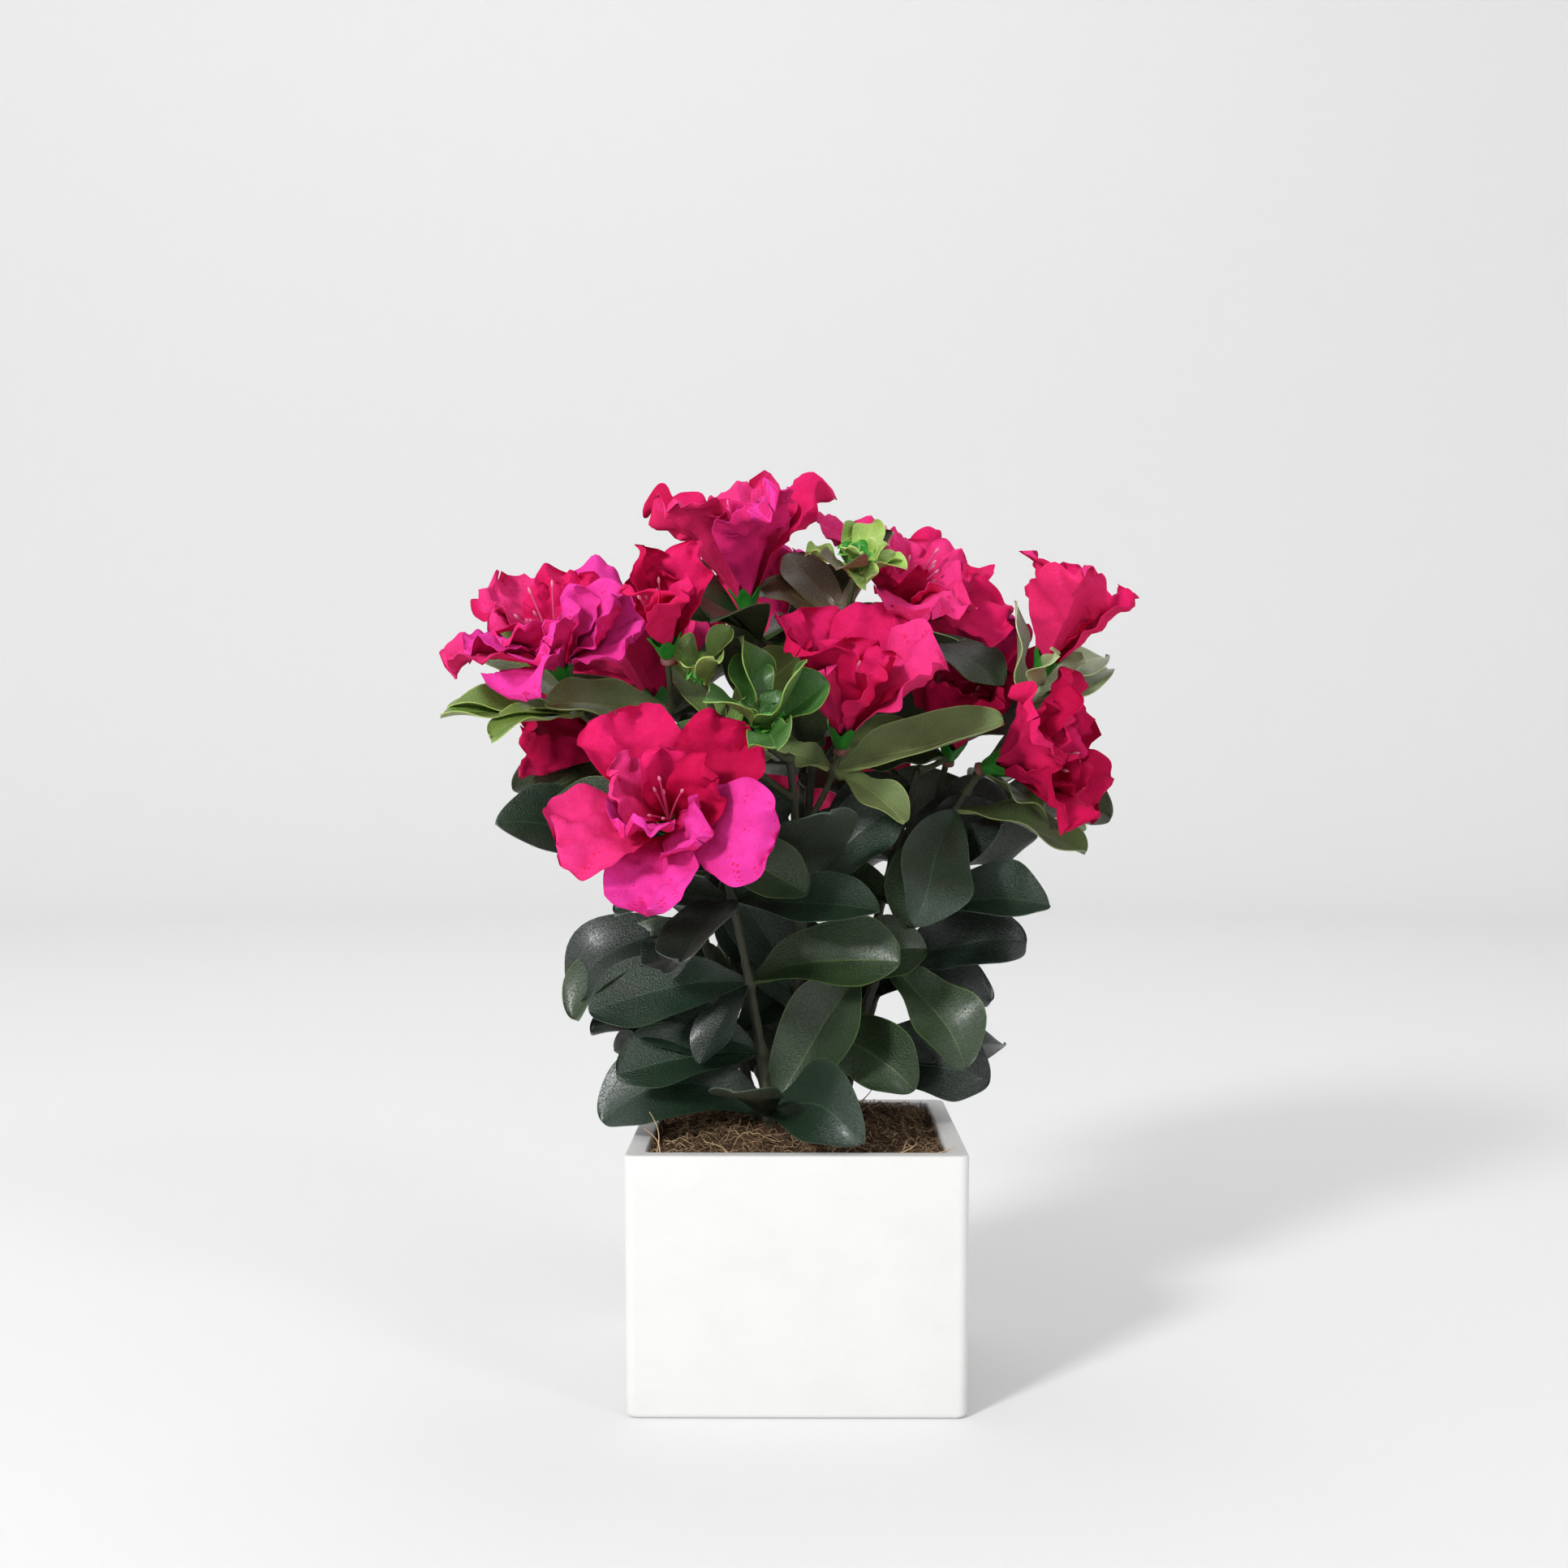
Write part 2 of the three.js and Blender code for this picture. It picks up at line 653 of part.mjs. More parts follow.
Object.entries(SPRAYS).forEach(([name, spray], i) => {
  const twig = twigLimb(spray, stems[spray.stem]);
  const mass = {
    name, stem: spray.stem, random: stream(i + 1), blades: [], used: [], twig, spray,
    root: limbPoint(twig, RING_AT), named: spray.leaves, fill: spray.fill,
    front: spray.seat[1] > BACK_HALF ? -1 : 1,
  };
  take(limbTests(twig), name);
  headBlades(spray, mass);
  masses[name] = mass;
});

Object.entries(STEMS).forEach(([stemName, stem], s) => {
  stem.whorls.forEach((whorl, w) => {
    const name = `leaves_${stemName}_${w + 1}`;
    masses[name] = {
      name, stem: stemName, random: stream(100 + s * 10 + w), blades: [], used: [], whorl,
      root: limbPoint(stems[stemName], whorl.at), named: whorl.leaves, fill: whorl.fill,
      front: stem.tip[1] > BACK_HALF ? -1 : 1,
    };
  });
});

// The named leaves find their places first, then the fill.
Object.values(masses).forEach((mass) => mass.named.forEach((leaf) => placeLeaf(mass, leaf)));
Object.values(masses).forEach((mass) => {
  for (let i = 0; i < mass.fill; i += 1) fillLeaf(mass);
});

// ---- Solids -----------------------------------------------------------------------------------

const clearOfStems = joined(
  Object.values(stems).map((limb) => limbSolid(limb, STEM.sides, STEM.steps, CLEARANCE)),
);

// A short sleeve round a stem, which carries a whorl's leaves.
function collarSolid(mass) {
  const stem = stems[mass.stem];
  const middle = limbPoint(stem, mass.whorl.at);
  const { side, front, axis } = squareTo(limbTangent(stem, mass.whorl.at));
  const radius = limbRadius(stem, mass.whorl.at) + CLEARANCE + COLLAR.wall;
  const sleeve = new THREE.CylinderGeometry(radius, radius, COLLAR.height, COLLAR.sides);
  return solidOf(sleeve, (x, y, z) => middle.clone()
    .addScaledVector(side, -x).addScaledVector(axis, y).addScaledVector(front, z));
}

// The green cup that holds a bloom's petals.
function calyxSolid(spray) {
  const { side, front, axis } = squareTo(heading(...spray.facing), UP);
  const cup = new THREE.CylinderGeometry(CALYX.mouth, CALYX.root, CALYX.length, CALYX.sides);
  const middle = vec(...spray.seat).addScaledVector(axis, -CALYX.length * 0.3);
  return solidOf(cup, (x, y, z) => middle.clone()
    .addScaledVector(side, -x).addScaledVector(axis, y).addScaledVector(front, z));
}

function massSolid(mass) {
  const blades = mass.blades.map(bladeSolid);
  const carrier = mass.whorl
    ? [collarSolid(mass)]
    : [limbSolid(mass.twig, TWIG.sides, TWIG.steps), calyxSolid(mass.spray)];
  return largest(joined([...carrier, ...blades]).subtract(clearOfStems));
}

function massColour(mass) {
  if (mass.whorl) return 'leaf';
  return mass.spray.head === 'young' ? 'young' : 'petal';
}

const plant = new THREE.Group();
plant.name = 'potted_azalea';
plant.add(meshOf('planter', planterSolid(), 'glaze'));
plant.add(meshOf('fibre_bed', fibreSolid(), 'fibre'));
Object.entries(stems).forEach(([name, limb]) => {
  plant.add(meshOf(`stem_${name}`, limbSolid(limb, STEM.sides, STEM.steps), 'bark'));
});
Object.values(masses).forEach((mass) => {
  plant.add(meshOf(mass.name, massSolid(mass), massColour(mass)));
});

export default plant;
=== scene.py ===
"""A potted azalea of the made kind: fabric blooms and coated leaves on wired stems in coconut fibre.

The growth rule works in millimetres, +Z up, +X to the right and +Y to the back, with the origin in the
middle of the planter's underside. Directions round the plant are in degrees: 0 to the right, 90 to the
back, 180 to the left and 270 to the front. Meshes are made in metres.
"""

import functools
import math

import bpy
import numpy as np
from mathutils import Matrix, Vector


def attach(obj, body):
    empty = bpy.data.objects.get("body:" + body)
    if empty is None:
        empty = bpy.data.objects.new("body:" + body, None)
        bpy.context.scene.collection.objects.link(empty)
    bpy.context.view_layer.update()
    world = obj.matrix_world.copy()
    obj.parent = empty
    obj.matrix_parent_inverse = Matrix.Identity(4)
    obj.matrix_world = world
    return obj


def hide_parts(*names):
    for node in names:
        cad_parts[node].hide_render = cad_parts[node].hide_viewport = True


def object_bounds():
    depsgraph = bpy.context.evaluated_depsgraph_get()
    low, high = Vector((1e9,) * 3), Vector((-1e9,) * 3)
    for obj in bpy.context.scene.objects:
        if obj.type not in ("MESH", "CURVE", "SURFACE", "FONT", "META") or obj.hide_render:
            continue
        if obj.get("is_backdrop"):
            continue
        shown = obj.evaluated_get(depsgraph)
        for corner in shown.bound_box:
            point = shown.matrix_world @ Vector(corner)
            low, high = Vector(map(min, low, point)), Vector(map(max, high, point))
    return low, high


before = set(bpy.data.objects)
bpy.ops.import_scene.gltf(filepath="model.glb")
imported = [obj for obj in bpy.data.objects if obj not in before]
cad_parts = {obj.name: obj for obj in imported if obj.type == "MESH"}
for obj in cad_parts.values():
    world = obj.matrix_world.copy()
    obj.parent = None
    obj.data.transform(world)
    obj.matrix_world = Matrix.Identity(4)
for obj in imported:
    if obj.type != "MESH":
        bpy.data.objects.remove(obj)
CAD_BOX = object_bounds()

bl_info = {
    "name": "Potted Azalea",
    "version": (1, 0, 0),
    "blender": (4, 5, 0),
    "location": "View3D > Sidebar > Azalea",
    "description": "Grows a made azalea with fabric blooms in a square planter",
    "category": "Add Mesh",
}

MM = 0.001

# ---- The plant's plan -------------------------------------------------------------------------

PLANTER = dict(width=100, height=76, wall=6, floor=7, taper=1.2, corner=3, foot=1.6)
FIBRE = dict(edge=74.4, crown=77.4, crown_width=46)
CLEARANCE = 0.3

STEM = dict(foot=1.65, tip=1.2)
TWIG = dict(root=1.05, tip=0.85)
CALYX = dict(mouth=4.8, root=1.5, length=7.5)

# The blades. Width is a share of the length, cup lifts the edges, ripple waves them, and swell says
# how soon a blade widens from its root and how blunt its tip is.
LEAF = dict(width=0.48, cup=0.2, ripple=0, swell=(1, 0.5))
YOUNG_LEAF = dict(width=0.54, cup=0.3, ripple=0, swell=(1, 0.45))
ROUND_LEAF = dict(YOUNG_LEAF, width=0.58, swell=(1.3, 0.5))
PETAL = dict(width=0.84, cup=0.3, ripple=0.05, swell=(1.1, 0.36))
TALL_PETAL = dict(PETAL, width=0.76)
CUPPED_PETAL = dict(PETAL, width=0.64, cup=0.34, swell=(0.9, 0.5))
INNER_PETAL = dict(PETAL, width=0.78, ripple=0.06)
SLIM_PETAL = dict(TALL_PETAL, width=0.62, swell=(1, 0.34))


def ring(blade, count, length, rise, droop, turn, seat, roll):
    """A ring of blades on a circle of radius seat, each rolled a little under the next."""
    return dict(
        blade=blade, count=count, length=length, rise=rise, droop=droop,
        turn=turn, seat=seat, roll=roll,
    )


# The kinds of head, each as its rings of blades.
HEADS = {
    "open": [ring(PETAL, 5, 31, 54, 62, 0, 3.4, 15)],
    "tall": [ring(TALL_PETAL, 5, 36, 72, 44, 0, 3.4, 18)],
    "flared": [ring(PETAL, 5, 35, 66, 34, 0, 3.4, 18)],
    "half": [ring(CUPPED_PETAL, 4, 32, 70, 8, 0, 3.4, 22)],
    "young": [
        ring(YOUNG_LEAF, 4, 22, 48, 30, 0, 1.6, 8),
        ring(YOUNG_LEAF, 3, 12, 70, 10, 40, 0.6, 8),
    ],
}

# The petals that stand inside the outer ring.
INNER_RINGS = {
    "open": ring(INNER_PETAL, 5, 23, 70, 30, 36, 2.1, 24),
    "tall": ring(INNER_PETAL, 4, 27, 78, 26, 36, 2, 22),
    "flared": ring(INNER_PETAL, 5, 27, 75, 24, 36, 2, 24),
    "half": ring(INNER_PETAL, 3, 24, 82, 8, 45, 1.4, 16),
}

# The fullest bloom has one more ring of petals.
FULLEST = "bloom_left"
FULL_RING = ring(INNER_PETAL, 5, 28, 60, 34, 12, 2.8, 22)

# The small leaves that fill a young head: round lime ones, and the narrow ones in its heart.
LIME_RING = ring(ROUND_LEAF, 4, 14, 34, 22, 20, 1.2, 8)
HEART_RING = ring(YOUNG_LEAF, 6, 8.5, 66, 30, 15, 0.6, 6)

# Stems: the foot on the fibre, the knee that bends the stem, and the tip. A whorl is its share of the
# stem's length, its leaves as (direction, rise, droop, length, roll), and how many more the seeded
# rule grows on the sides that are left.
STEMS = {
    "front_left": dict(foot=(-8, -13), knee=(-12, -13.5, 117), tip=(-22, -32, 160), whorls=[
        (0.04, [(302, 36, 70, 50, 54), (346, 62, 8, 52, 84), (186, 44, 88, 58, -56)], 2),
        (0.29, [(184, 24, 16, 45, -50), (200, 2, 12, 46, -40)], 2),
        (0.56, [(190, 4, 26, 50, -56), (218, -40, 20, 30, -20)], 2),
        (0.86, [], 3),
    ]),
    "left": dict(foot=(-12, -5), knee=(-22, -6, 120), tip=(-47, -6, 184), whorls=[
        (0.3, [(176, 20, 30, 46, -40)], 3),
        (0.62, [(192, 2, 60, 50, -46), (224, -20, 56, 50, -40)], 3),
        (0.84, [(180, 12, 6, 56, -44), (168, 34, 20, 42, -30)], 2),
    ]),
    "front_centre": dict(foot=(-3, -9), knee=(4, -11, 132), tip=(-2, -24, 191), whorls=[
        (0.36, [(322, -8, 44, 32, 50), (200, 66, 12, 44, -70)], 2),
        (0.64, [(345, 52, 20, 44, 70), (205, 50, 24, 42, -60)], 2),
    ]),
    "centre": dict(foot=(1, -3), knee=(0, -2, 145), tip=(7, 4, 212), whorls=[
        (0.24, [(195, 66, 14, 48, -70)], 3),
        (0.56, [(340, 56, 24, 46, 66), (200, 56, 24, 46, -66)], 3),
        (0.84, [], 4),
    ]),
    "right": dict(foot=(10, -3), knee=(28.5, -1, 142), tip=(57, 4, 186), whorls=[
        (0.14, [(354, 8, 24, 46, 54), (18, 16, 24, 54, 40)], 2),
        (0.42, [(325, -30, 30, 44, 30), (8, -10, 20, 38, 50), (0, 16, 14, 46, 46)], 2),
        (0.58, [(4, 8, 16, 46, 36), (15, 55, 18, 44, 50), (202, 26, 26, 38, -50)], 1),
        (0.88, [(358, 20, 26, 56, 16), (212, -26, 26, 52, -46), (228, -50, 10, 44, -30)], 1),
    ]),
    "right_back": dict(foot=(8, 4), knee=(26, 12, 140), tip=(39, 18, 188), whorls=[
        (0.3, [(340, 30, 20, 46, 40)], 4),
        (0.72, [(330, 40, 30, 44, 40)], 4),
    ]),
    "back_left": dict(foot=(-8, 3), knee=(-20, 14, 130), tip=(-38, 28, 184), whorls=[
        (0.14, [], 4),
        (0.42, [], 4),
        (0.72, [(170, 24, 26, 46, -30)], 3),
    ]),
    "back": dict(foot=(0, 7), knee=(0, 20, 138), tip=(2, 36, 190), whorls=[
        (0.16, [], 4),
        (0.36, [], 4),
    ]),
    "back_right": dict(foot=(13, 7), knee=(30, 22, 128), tip=(48, 36, 182), whorls=[
        (0.18, [], 4),
        (0.42, [], 4),
        (0.72, [], 4),
    ]),
}


def sprig(stem, at, seat, facing, head, size, spin, fill, *leaves):
    """A bloom or a head of young leaves on its twig.

    The twig leaves its stem at a share of the stem's length. The seat is where the head sits, facing
    is its axis as (direction, height above the level), size scales it and spin turns it. Fill and the
    leaves are given as a whorl's are.
    """
    return dict(
        stem=stem, at=at, seat=seat, facing=facing, head=head, size=size, spin=spin, fill=fill,
        leaves=leaves,
    )


SPRAYS = {
    "bloom_left": sprig(
        "left", 1, (-72, -22, 220), (248, 52), "open", 1.06, -4, 0,
        (174, 8, 4, 42, -20), (196, 4, 10, 44, -30), (225, 0, 20, 36, -20), (165, 40, 8, 42, -30),
    ),
    "bloom_far_left": sprig(
        "left", 0.96, (-60, 6, 196), (190, 10), "half", 0.9, 0, 1,
        (178, -18, 10, 38, -40),
    ),
    "bud_left": sprig(
        "left", 0.92, (-39, -38, 226), (262, 50), "half", 0.9, 40, 1,
        (192, 6, 10, 38, -30),
    ),
    "bloom_inner_left": sprig("left", 0.88, (-44, 6, 212), (200, 82), "half", 1, 10, 2),
    "bloom_front": sprig(
        "front_left", 1, (-37, -42, 172), (266, 22), "open", 1.12, -18, 0,
        (176, 26, 26, 42, -30), (352, -16, 16, 42, 60),
    ),
    "young_front": sprig(
        "front_centre", 1, (-9, -40, 199), (262, 44), "young", 1.1, 20, 0,
        (330, 50, 10, 34, 50), (214, 4, -10, 30, -50), (200, 72, -6, 34, -50), (186, 4, 6, 34, -20),
    ),
    "young_left": sprig(
        "front_centre", 0.9, (-28, -30, 214), (243, 62), "young", 0.8, 50, 0,
        (186, 20, 24, 36, -30), (345, 50, 10, 38, 50), (205, 4, 10, 36, -30),
    ),
    "bloom_centre": sprig(
        "front_centre", 0.8, (14, -22, 200), (278, 60), "flared", 1.04, -20, 1,
        (350, 18, 6, 54, 40), (165, 30, 30, 34, -30), (318, -18, 20, 32, 20),
    ),
    "bloom_top": sprig(
        "centre", 1, (-16, -4, 243), (245, 74), "tall", 1.18, 30, 3,
        (348, 0, 4, 32, 40),
    ),
    "young_top": sprig(
        "centre", 0.98, (18, -15, 249), (280, 52), "young", 1.15, 65, 0,
        (206, 10, 20, 30, -40), (172, 50, 4, 32, -50), (335, 30, 10, 32, 40),
    ),
    "bloom_top_right": sprig(
        "centre", 0.96, (32, 12, 238), (300, 54), "open", 1.18, 32, 2,
        (352, 16, 56, 46, 30), (20, 6, 14, 36, 30),
    ),
    "bud_right": sprig(
        "right", 1, (79, 0, 223), (330, 66), "half", 1.06, 20, 1,
        (300, 40, 10, 28, 50), (356, 26, 10, 38, 40), (348, 2, 4, 36, 30), (172, 66, -26, 34, -30),
    ),
    "bloom_right": sprig(
        "right", 0.94, (64, -4, 190), (335, 14), "flared", 1, 22, 1,
        (334, -34, 4, 26, 10),
    ),
    "bloom_inner_right": sprig(
        "right_back", 1, (51, 22, 197), (288, 56), "half", 0.94, 12, 1,
        (10, 30, 50, 46, 36), (200, 10, 20, 38, -36),
    ),
    "bloom_back_left": sprig("back_left", 1, (-48, 40, 220), (128, 52), "open", 1, 5, 4),
    "bloom_low_back_left": sprig("back_left", 0.94, (-60, 40, 186), (146, 12), "flared", 0.9, 25, 3),
    "bloom_back": sprig("back", 1, (-4, 44, 228), (94, 62), "tall", 0.95, 18, 4),
    "bloom_low_back": sprig("back", 0.94, (8, 58, 192), (84, 20), "open", 1, 40, 4),
    "bloom_back_right": sprig("back_right", 1, (60, 44, 214), (48, 48), "open", 1, 50, 4),
    "young_back_right": sprig("back_right", 0.92, (76, 34, 184), (20, 24), "young", 1.2, 10, 4),
    "young_back": sprig("right_back", 0.94, (20, 52, 224), (84, 60), "young", 1.1, 15, 4),
}

# The seeded rule for the leaves on the sides that the named ones leave free: middle and spread.
FILL_RISE = (16, 24)
FILL_DROOP = (28, 16)
FILL_LENGTH = (44, 6)
FILL_ROLL = (50, 18)
FILL_SWING = 16
BACK_HALF = 15  # masses further back than this turn their leaves' faces to the back
SUNK = 0.06  # how deep the petals' roots are sunk in the calyx, as a share of its length
RING_AT = 0.62  # where a spray's leaves sit on its twig
TWIG_BEND = 0.55  # how far a twig swings in behind its head, as a share of its reach

# A blade that would touch another mass is tilted, swung and shortened in these steps, or left out.
LEAF_TILTS = (0, 12, -12, 24, -24, 38)
LEAF_SWINGS = (0, 12, -12, 24, -24, 38, -38)
LEAF_SHRINKS = (1, 0.8)
PETAL_TILTS = (0, 8, 16, 24, -8, -16)
APART = 3  # the least distance between the test points of two masses
TEST_ALONG = 10
TEST_ACROSS = 5
RIM_SPACE = 0.7  # what a leaf keeps above the planter and the fibre

UP = np.array([0.0, 0.0, 1.0])
BACK = np.array([0.0, 1.0, 0.0])

# ---- The growth rule --------------------------------------------------------------------------


def stream(seed):
    """A repeatable stream of numbers from -1 to 1."""
    state = (seed * 2654435761) % 2**32

    def step():
        nonlocal state
        state = (state * 1664525 + 1013904223) % 2**32
        return state / 2**32 * 2 - 1

    return step


def heading(direction, height):
    """A unit vector from a direction round the plant and a height above the level, in degrees."""
    turn, lift = math.radians(direction), math.radians(height)
    level = math.cos(lift)
    return np.array([level * math.cos(turn), level * math.sin(turn), math.sin(lift)])


def unit(vector):
    """The vector at a length of 1."""
    return vector / np.linalg.norm(vector)


def square_to(axis, guide=BACK):
    """Side, front and axis, right-handed, with side square to the guide too."""
    side = unit(np.cross(guide, axis))
    return side, np.cross(axis, side), axis


def turned(first, second, angle):
    """Two unit vectors turned in their own plane, from the first towards the second."""
    c, s = np.cos(angle)[..., None], np.sin(angle)[..., None]
    return first * c + second * s, second * c - first * s


def limb_point(limb, share):
    """Points at shares of a limb, which curves from its root to its tip and leans towards its knee."""
    share = np.asarray(share, float)[..., None]
    a = limb["root"] + (limb["knee"] - limb["root"]) * share
    b = limb["knee"] + (limb["tip"] - limb["knee"]) * share
    return a + (b - a) * share


def stem_limb(stem):
    """A stem as a limb whose root stands on the fibre."""
    return dict(
        root=np.array([*stem["foot"], FIBRE["crown"] + CLEARANCE], float),
        knee=np.array(stem["knee"], float),
        tip=np.array(stem["tip"], float),
        thick=STEM["foot"], thin=STEM["tip"],
    )


def twig_limb(spray, stem):
    """A spray's twig grows out of its stem and swings in behind its head."""
    root, tip = limb_point(stem, spray["at"]), np.array(spray["seat"], float)
    reach = np.linalg.norm(tip - root)
    knee = tip - heading(*spray["facing"]) * reach * TWIG_BEND
    return dict(root=root, knee=knee, tip=tip, thick=TWIG["root"], thin=TWIG["tip"])


def swell(kind, share):
    """How wide a blade is at a share of its length, 1 at its widest."""
    rootward, tipward = kind["swell"]
    widest = rootward / (rootward + tipward)
    top = widest**rootward * (1 - widest) ** tipward
    return share**rootward * (1 - share) ** tipward / top


def blade_path(blade, along):
    """A blade's middle line, and its level and raised directions, at shares along it.

    The blade leaves its root at a direction and a rise, and bends down evenly by its droop.
    """
    side, front, axis = blade["frame"]
    rise = math.radians(blade["rise"])
    droop = math.radians(0.1 if abs(blade["droop"]) < 0.1 else blade["droop"])
    pitch = rise - droop * along
    length = blade["length"]
    ahead = length * (math.sin(rise) - np.sin(pitch)) / droop
    lift = length * (np.cos(pitch) - math.cos(rise)) / droop
    outward, level = turned(side, front, np.asarray(math.radians(blade["direction"])))
    normal = turned(outward, axis, pitch)[1]
    flat, crest = turned(level, normal, np.full_like(pitch, math.radians(blade["roll"])))
    middle = blade["root"] + outward * ahead[..., None] + axis * lift[..., None]
    return middle, flat, crest


def blade_half(blade, along):
    """Half the width of a blade at shares along it."""
    return blade["length"] * blade["kind"]["width"] * swell(blade["kind"], along) / 2


def blade_rise(blade, along, across, half):
    """How far a blade's surface is cupped and waved off its middle line."""
    kind = blade["kind"]
    wave = np.sin(math.pi * 1.4 * across + blade["phase"])
    return half * kind["cup"] * across**2 + kind["ripple"] * blade["length"] * along**2 * wave


def blade_tests(blade):
    """Points spread over a blade, which stand for it when masses are kept apart."""
    along, across = np.meshgrid(
        np.arange(1, TEST_ALONG + 1) / (TEST_ALONG + 0.3),
        np.linspace(-1, 1, TEST_ACROSS), indexing="ij",
    )
    middle, flat, crest = blade_path(blade, along)
    half = blade_half(blade, along)
    off = blade_rise(blade, along, across, half)
    return (middle + flat * (half * across)[..., None] + crest * off[..., None]).reshape(-1, 3)


def limb_tests(limb):
    """Points along a limb, which stand for it when masses are kept apart."""
    steps = math.ceil(np.linalg.norm(limb["tip"] - limb["root"]) / APART)
    return limb_point(limb, np.arange(steps + 1) / steps)


class Ground:
    """What has been placed so far, as test points with their owners."""

    def __init__(self):
        self.points, self.owners, self.names = [], [], []

    def take(self, points, owner):
        if owner not in self.names:
            self.names.append(owner)
        self.points.append(points)
        self.owners.append(np.full(len(points), self.names.index(owner)))

    def near(self, blade, mass):
        """The test points of other masses that this blade could reach."""
        points, owners = np.concatenate(self.points), np.concatenate(self.owners)
        own = [self.names.index(name) for name in (mass["name"], mass["stem"]) if name in self.names]
        reach = blade["length"] * (1 + blade["kind"]["width"]) + APART
        close = np.abs(points - blade["root"]).max(axis=1) < reach
        return points[close & ~np.isin(owners, own)]


def is_free(points, others):
    """True where no test point is near another mass, in the planter or in the fibre."""
    reach = np.abs(points[:, :2]).max(axis=1)
    ground = np.where(reach < FIBRE["crown_width"] / 2, FIBRE["crown"], PLANTER["height"])
    over_pot = reach < PLANTER["width"] / 2 + RIM_SPACE
    if np.any(over_pot & (points[:, 2] < ground + RIM_SPACE)):
        return False
    if not len(others):
        return True
    gaps = (points**2).sum(axis=1)[:, None] + (others**2).sum(axis=1) - 2 * points @ others.T
    return gaps.min() > APART**2


def settle(ground, mass, blade, tilts, swings=(0,), shrinks=(1,)):
    """Adds a blade to a mass, changed by the steps until it is free, or leaves it out."""
    others = ground.near(blade, mass)
    for shrink in shrinks:
        for tilt in tilts:
            for swing in swings:
                tried = dict(
                    blade, direction=blade["direction"] + swing, rise=blade["rise"] + tilt,
                    length=blade["length"] * shrink,
                )
                points = blade_tests(tried)
                if is_free(points, others):
                    mass["blades"].append(tried)
                    ground.take(points, mass["name"])
                    return


def place_leaf(ground, mass, direction, rise, droop, length, roll):
    """Gives a mass a leaf, and keeps its direction so that the next ones grow beside it."""
    leaf = dict(
        frame=square_to(UP), root=mass["root"], kind=LEAF, phase=0,
        direction=direction, rise=rise, droop=droop, length=length, roll=roll,
    )
    settle(ground, mass, leaf, LEAF_TILTS, LEAF_SWINGS, LEAF_SHRINKS)
    mass["used"].append(direction)


def widest_gap(used, random):
    """The direction that is furthest from the leaves already there."""
    if not used:
        return random() * 180
    starts = sorted(direction % 360 for direction in used)
    ends = [*starts[1:], starts[0] + 360]
    start, end = max(zip(starts, ends), key=lambda gap: gap[1] - gap[0])
    return (start + end) / 2


def spread(random, values):
    """A number drawn evenly round a middle, as far from it as the reach."""
    middle, reach = values
    return middle + random() * reach


def fill_leaf(ground, mass):
    """Gives a mass a leaf on the side that is emptiest, its face turned to the nearer side."""
    random = mass["random"]
    direction = widest_gap(mass["used"], random) + random() * FILL_SWING
    rise, droop, length = (spread(random, v) for v in (FILL_RISE, FILL_DROOP, FILL_LENGTH))
    side_on = mass["front"] * FILL_ROLL[0] * math.cos(math.radians(direction))
    place_leaf(ground, mass, direction, rise, droop, length, side_on + random() * FILL_ROLL[1])


def head_frame(spray):
    """Side, front and axis of a spray's head."""
    return square_to(heading(*spray["facing"]), UP)


def ring_blades(spray, kind, random):
    """A ring's blades in the frame of the head's own axis, varied a little by a draw from -1 to 1."""
    frame_of_head = head_frame(spray)
    side, front, axis = frame_of_head
    middle = np.array(spray["seat"], float) - axis * CALYX["length"] * SUNK
    for i in range(kind["count"]):
        direction = spray["spin"] + kind["turn"] + i * 360 / kind["count"] + random() * 6
        turn = math.radians(direction)
        out = side * math.cos(turn) + front * math.sin(turn)
        yield dict(
            frame=frame_of_head, direction=direction, kind=kind["blade"], roll=kind["roll"],
            root=middle + out * kind["seat"],
            rise=kind["rise"] + random() * 4,
            droop=kind["droop"] + random() * 7,
            length=kind["length"] * spray["size"] * (1 + random() * 0.06),
            phase=random() * 0.9,
        )


@functools.cache
def grown():
    """The whole plant: its stems and its masses, each with its blades."""
    ground, stems, masses = Ground(), {}, {}
    for name, stem in STEMS.items():
        stems[name] = stem_limb(stem)
        ground.take(limb_tests(stems[name]), name)
    for seed, (name, spray) in enumerate(SPRAYS.items(), 1):
        twig = twig_limb(spray, stems[spray["stem"]])
        mass = dict(
            name=name, stem=spray["stem"], random=stream(seed), blades=[], used=[], twig=twig,
            spray=spray, root=limb_point(twig, RING_AT), named=spray["leaves"], fill=spray["fill"],
            front=-1 if spray["seat"][1] > BACK_HALF else 1,
        )
        ground.take(limb_tests(twig), name)
        for kind in HEADS[spray["head"]]:
            for blade in ring_blades(spray, kind, mass["random"]):
                settle(ground, mass, blade, PETAL_TILTS)
        mass["head"] = list(mass["blades"])
        masses[name] = mass
    for s, (stem_name, stem) in enumerate(STEMS.items()):
        for w, (at, named, fill) in enumerate(stem["whorls"]):
            name = f"leaves_{stem_name}_{w + 1}"
            masses[name] = dict(
                name=name, stem=stem_name, random=stream(100 + s * 10 + w), blades=[], used=[],
                root=limb_point(stems[stem_name], at), named=named, fill=fill, head=[], at=at,
                front=-1 if stem["tip"][1] > BACK_HALF else 1,
            )
    for mass in masses.values():
        for leaf in mass["named"]:
            place_leaf(ground, mass, *leaf)
    for mass in masses.values():
        for _ in range(mass["fill"]):
            fill_leaf(ground, mass)
    for mass in masses.values():
        mass["leaves"] = mass["blades"][len(mass["head"]):]
    return stems, masses


# ---- Mesh tools -------------------------------------------------------------------------------


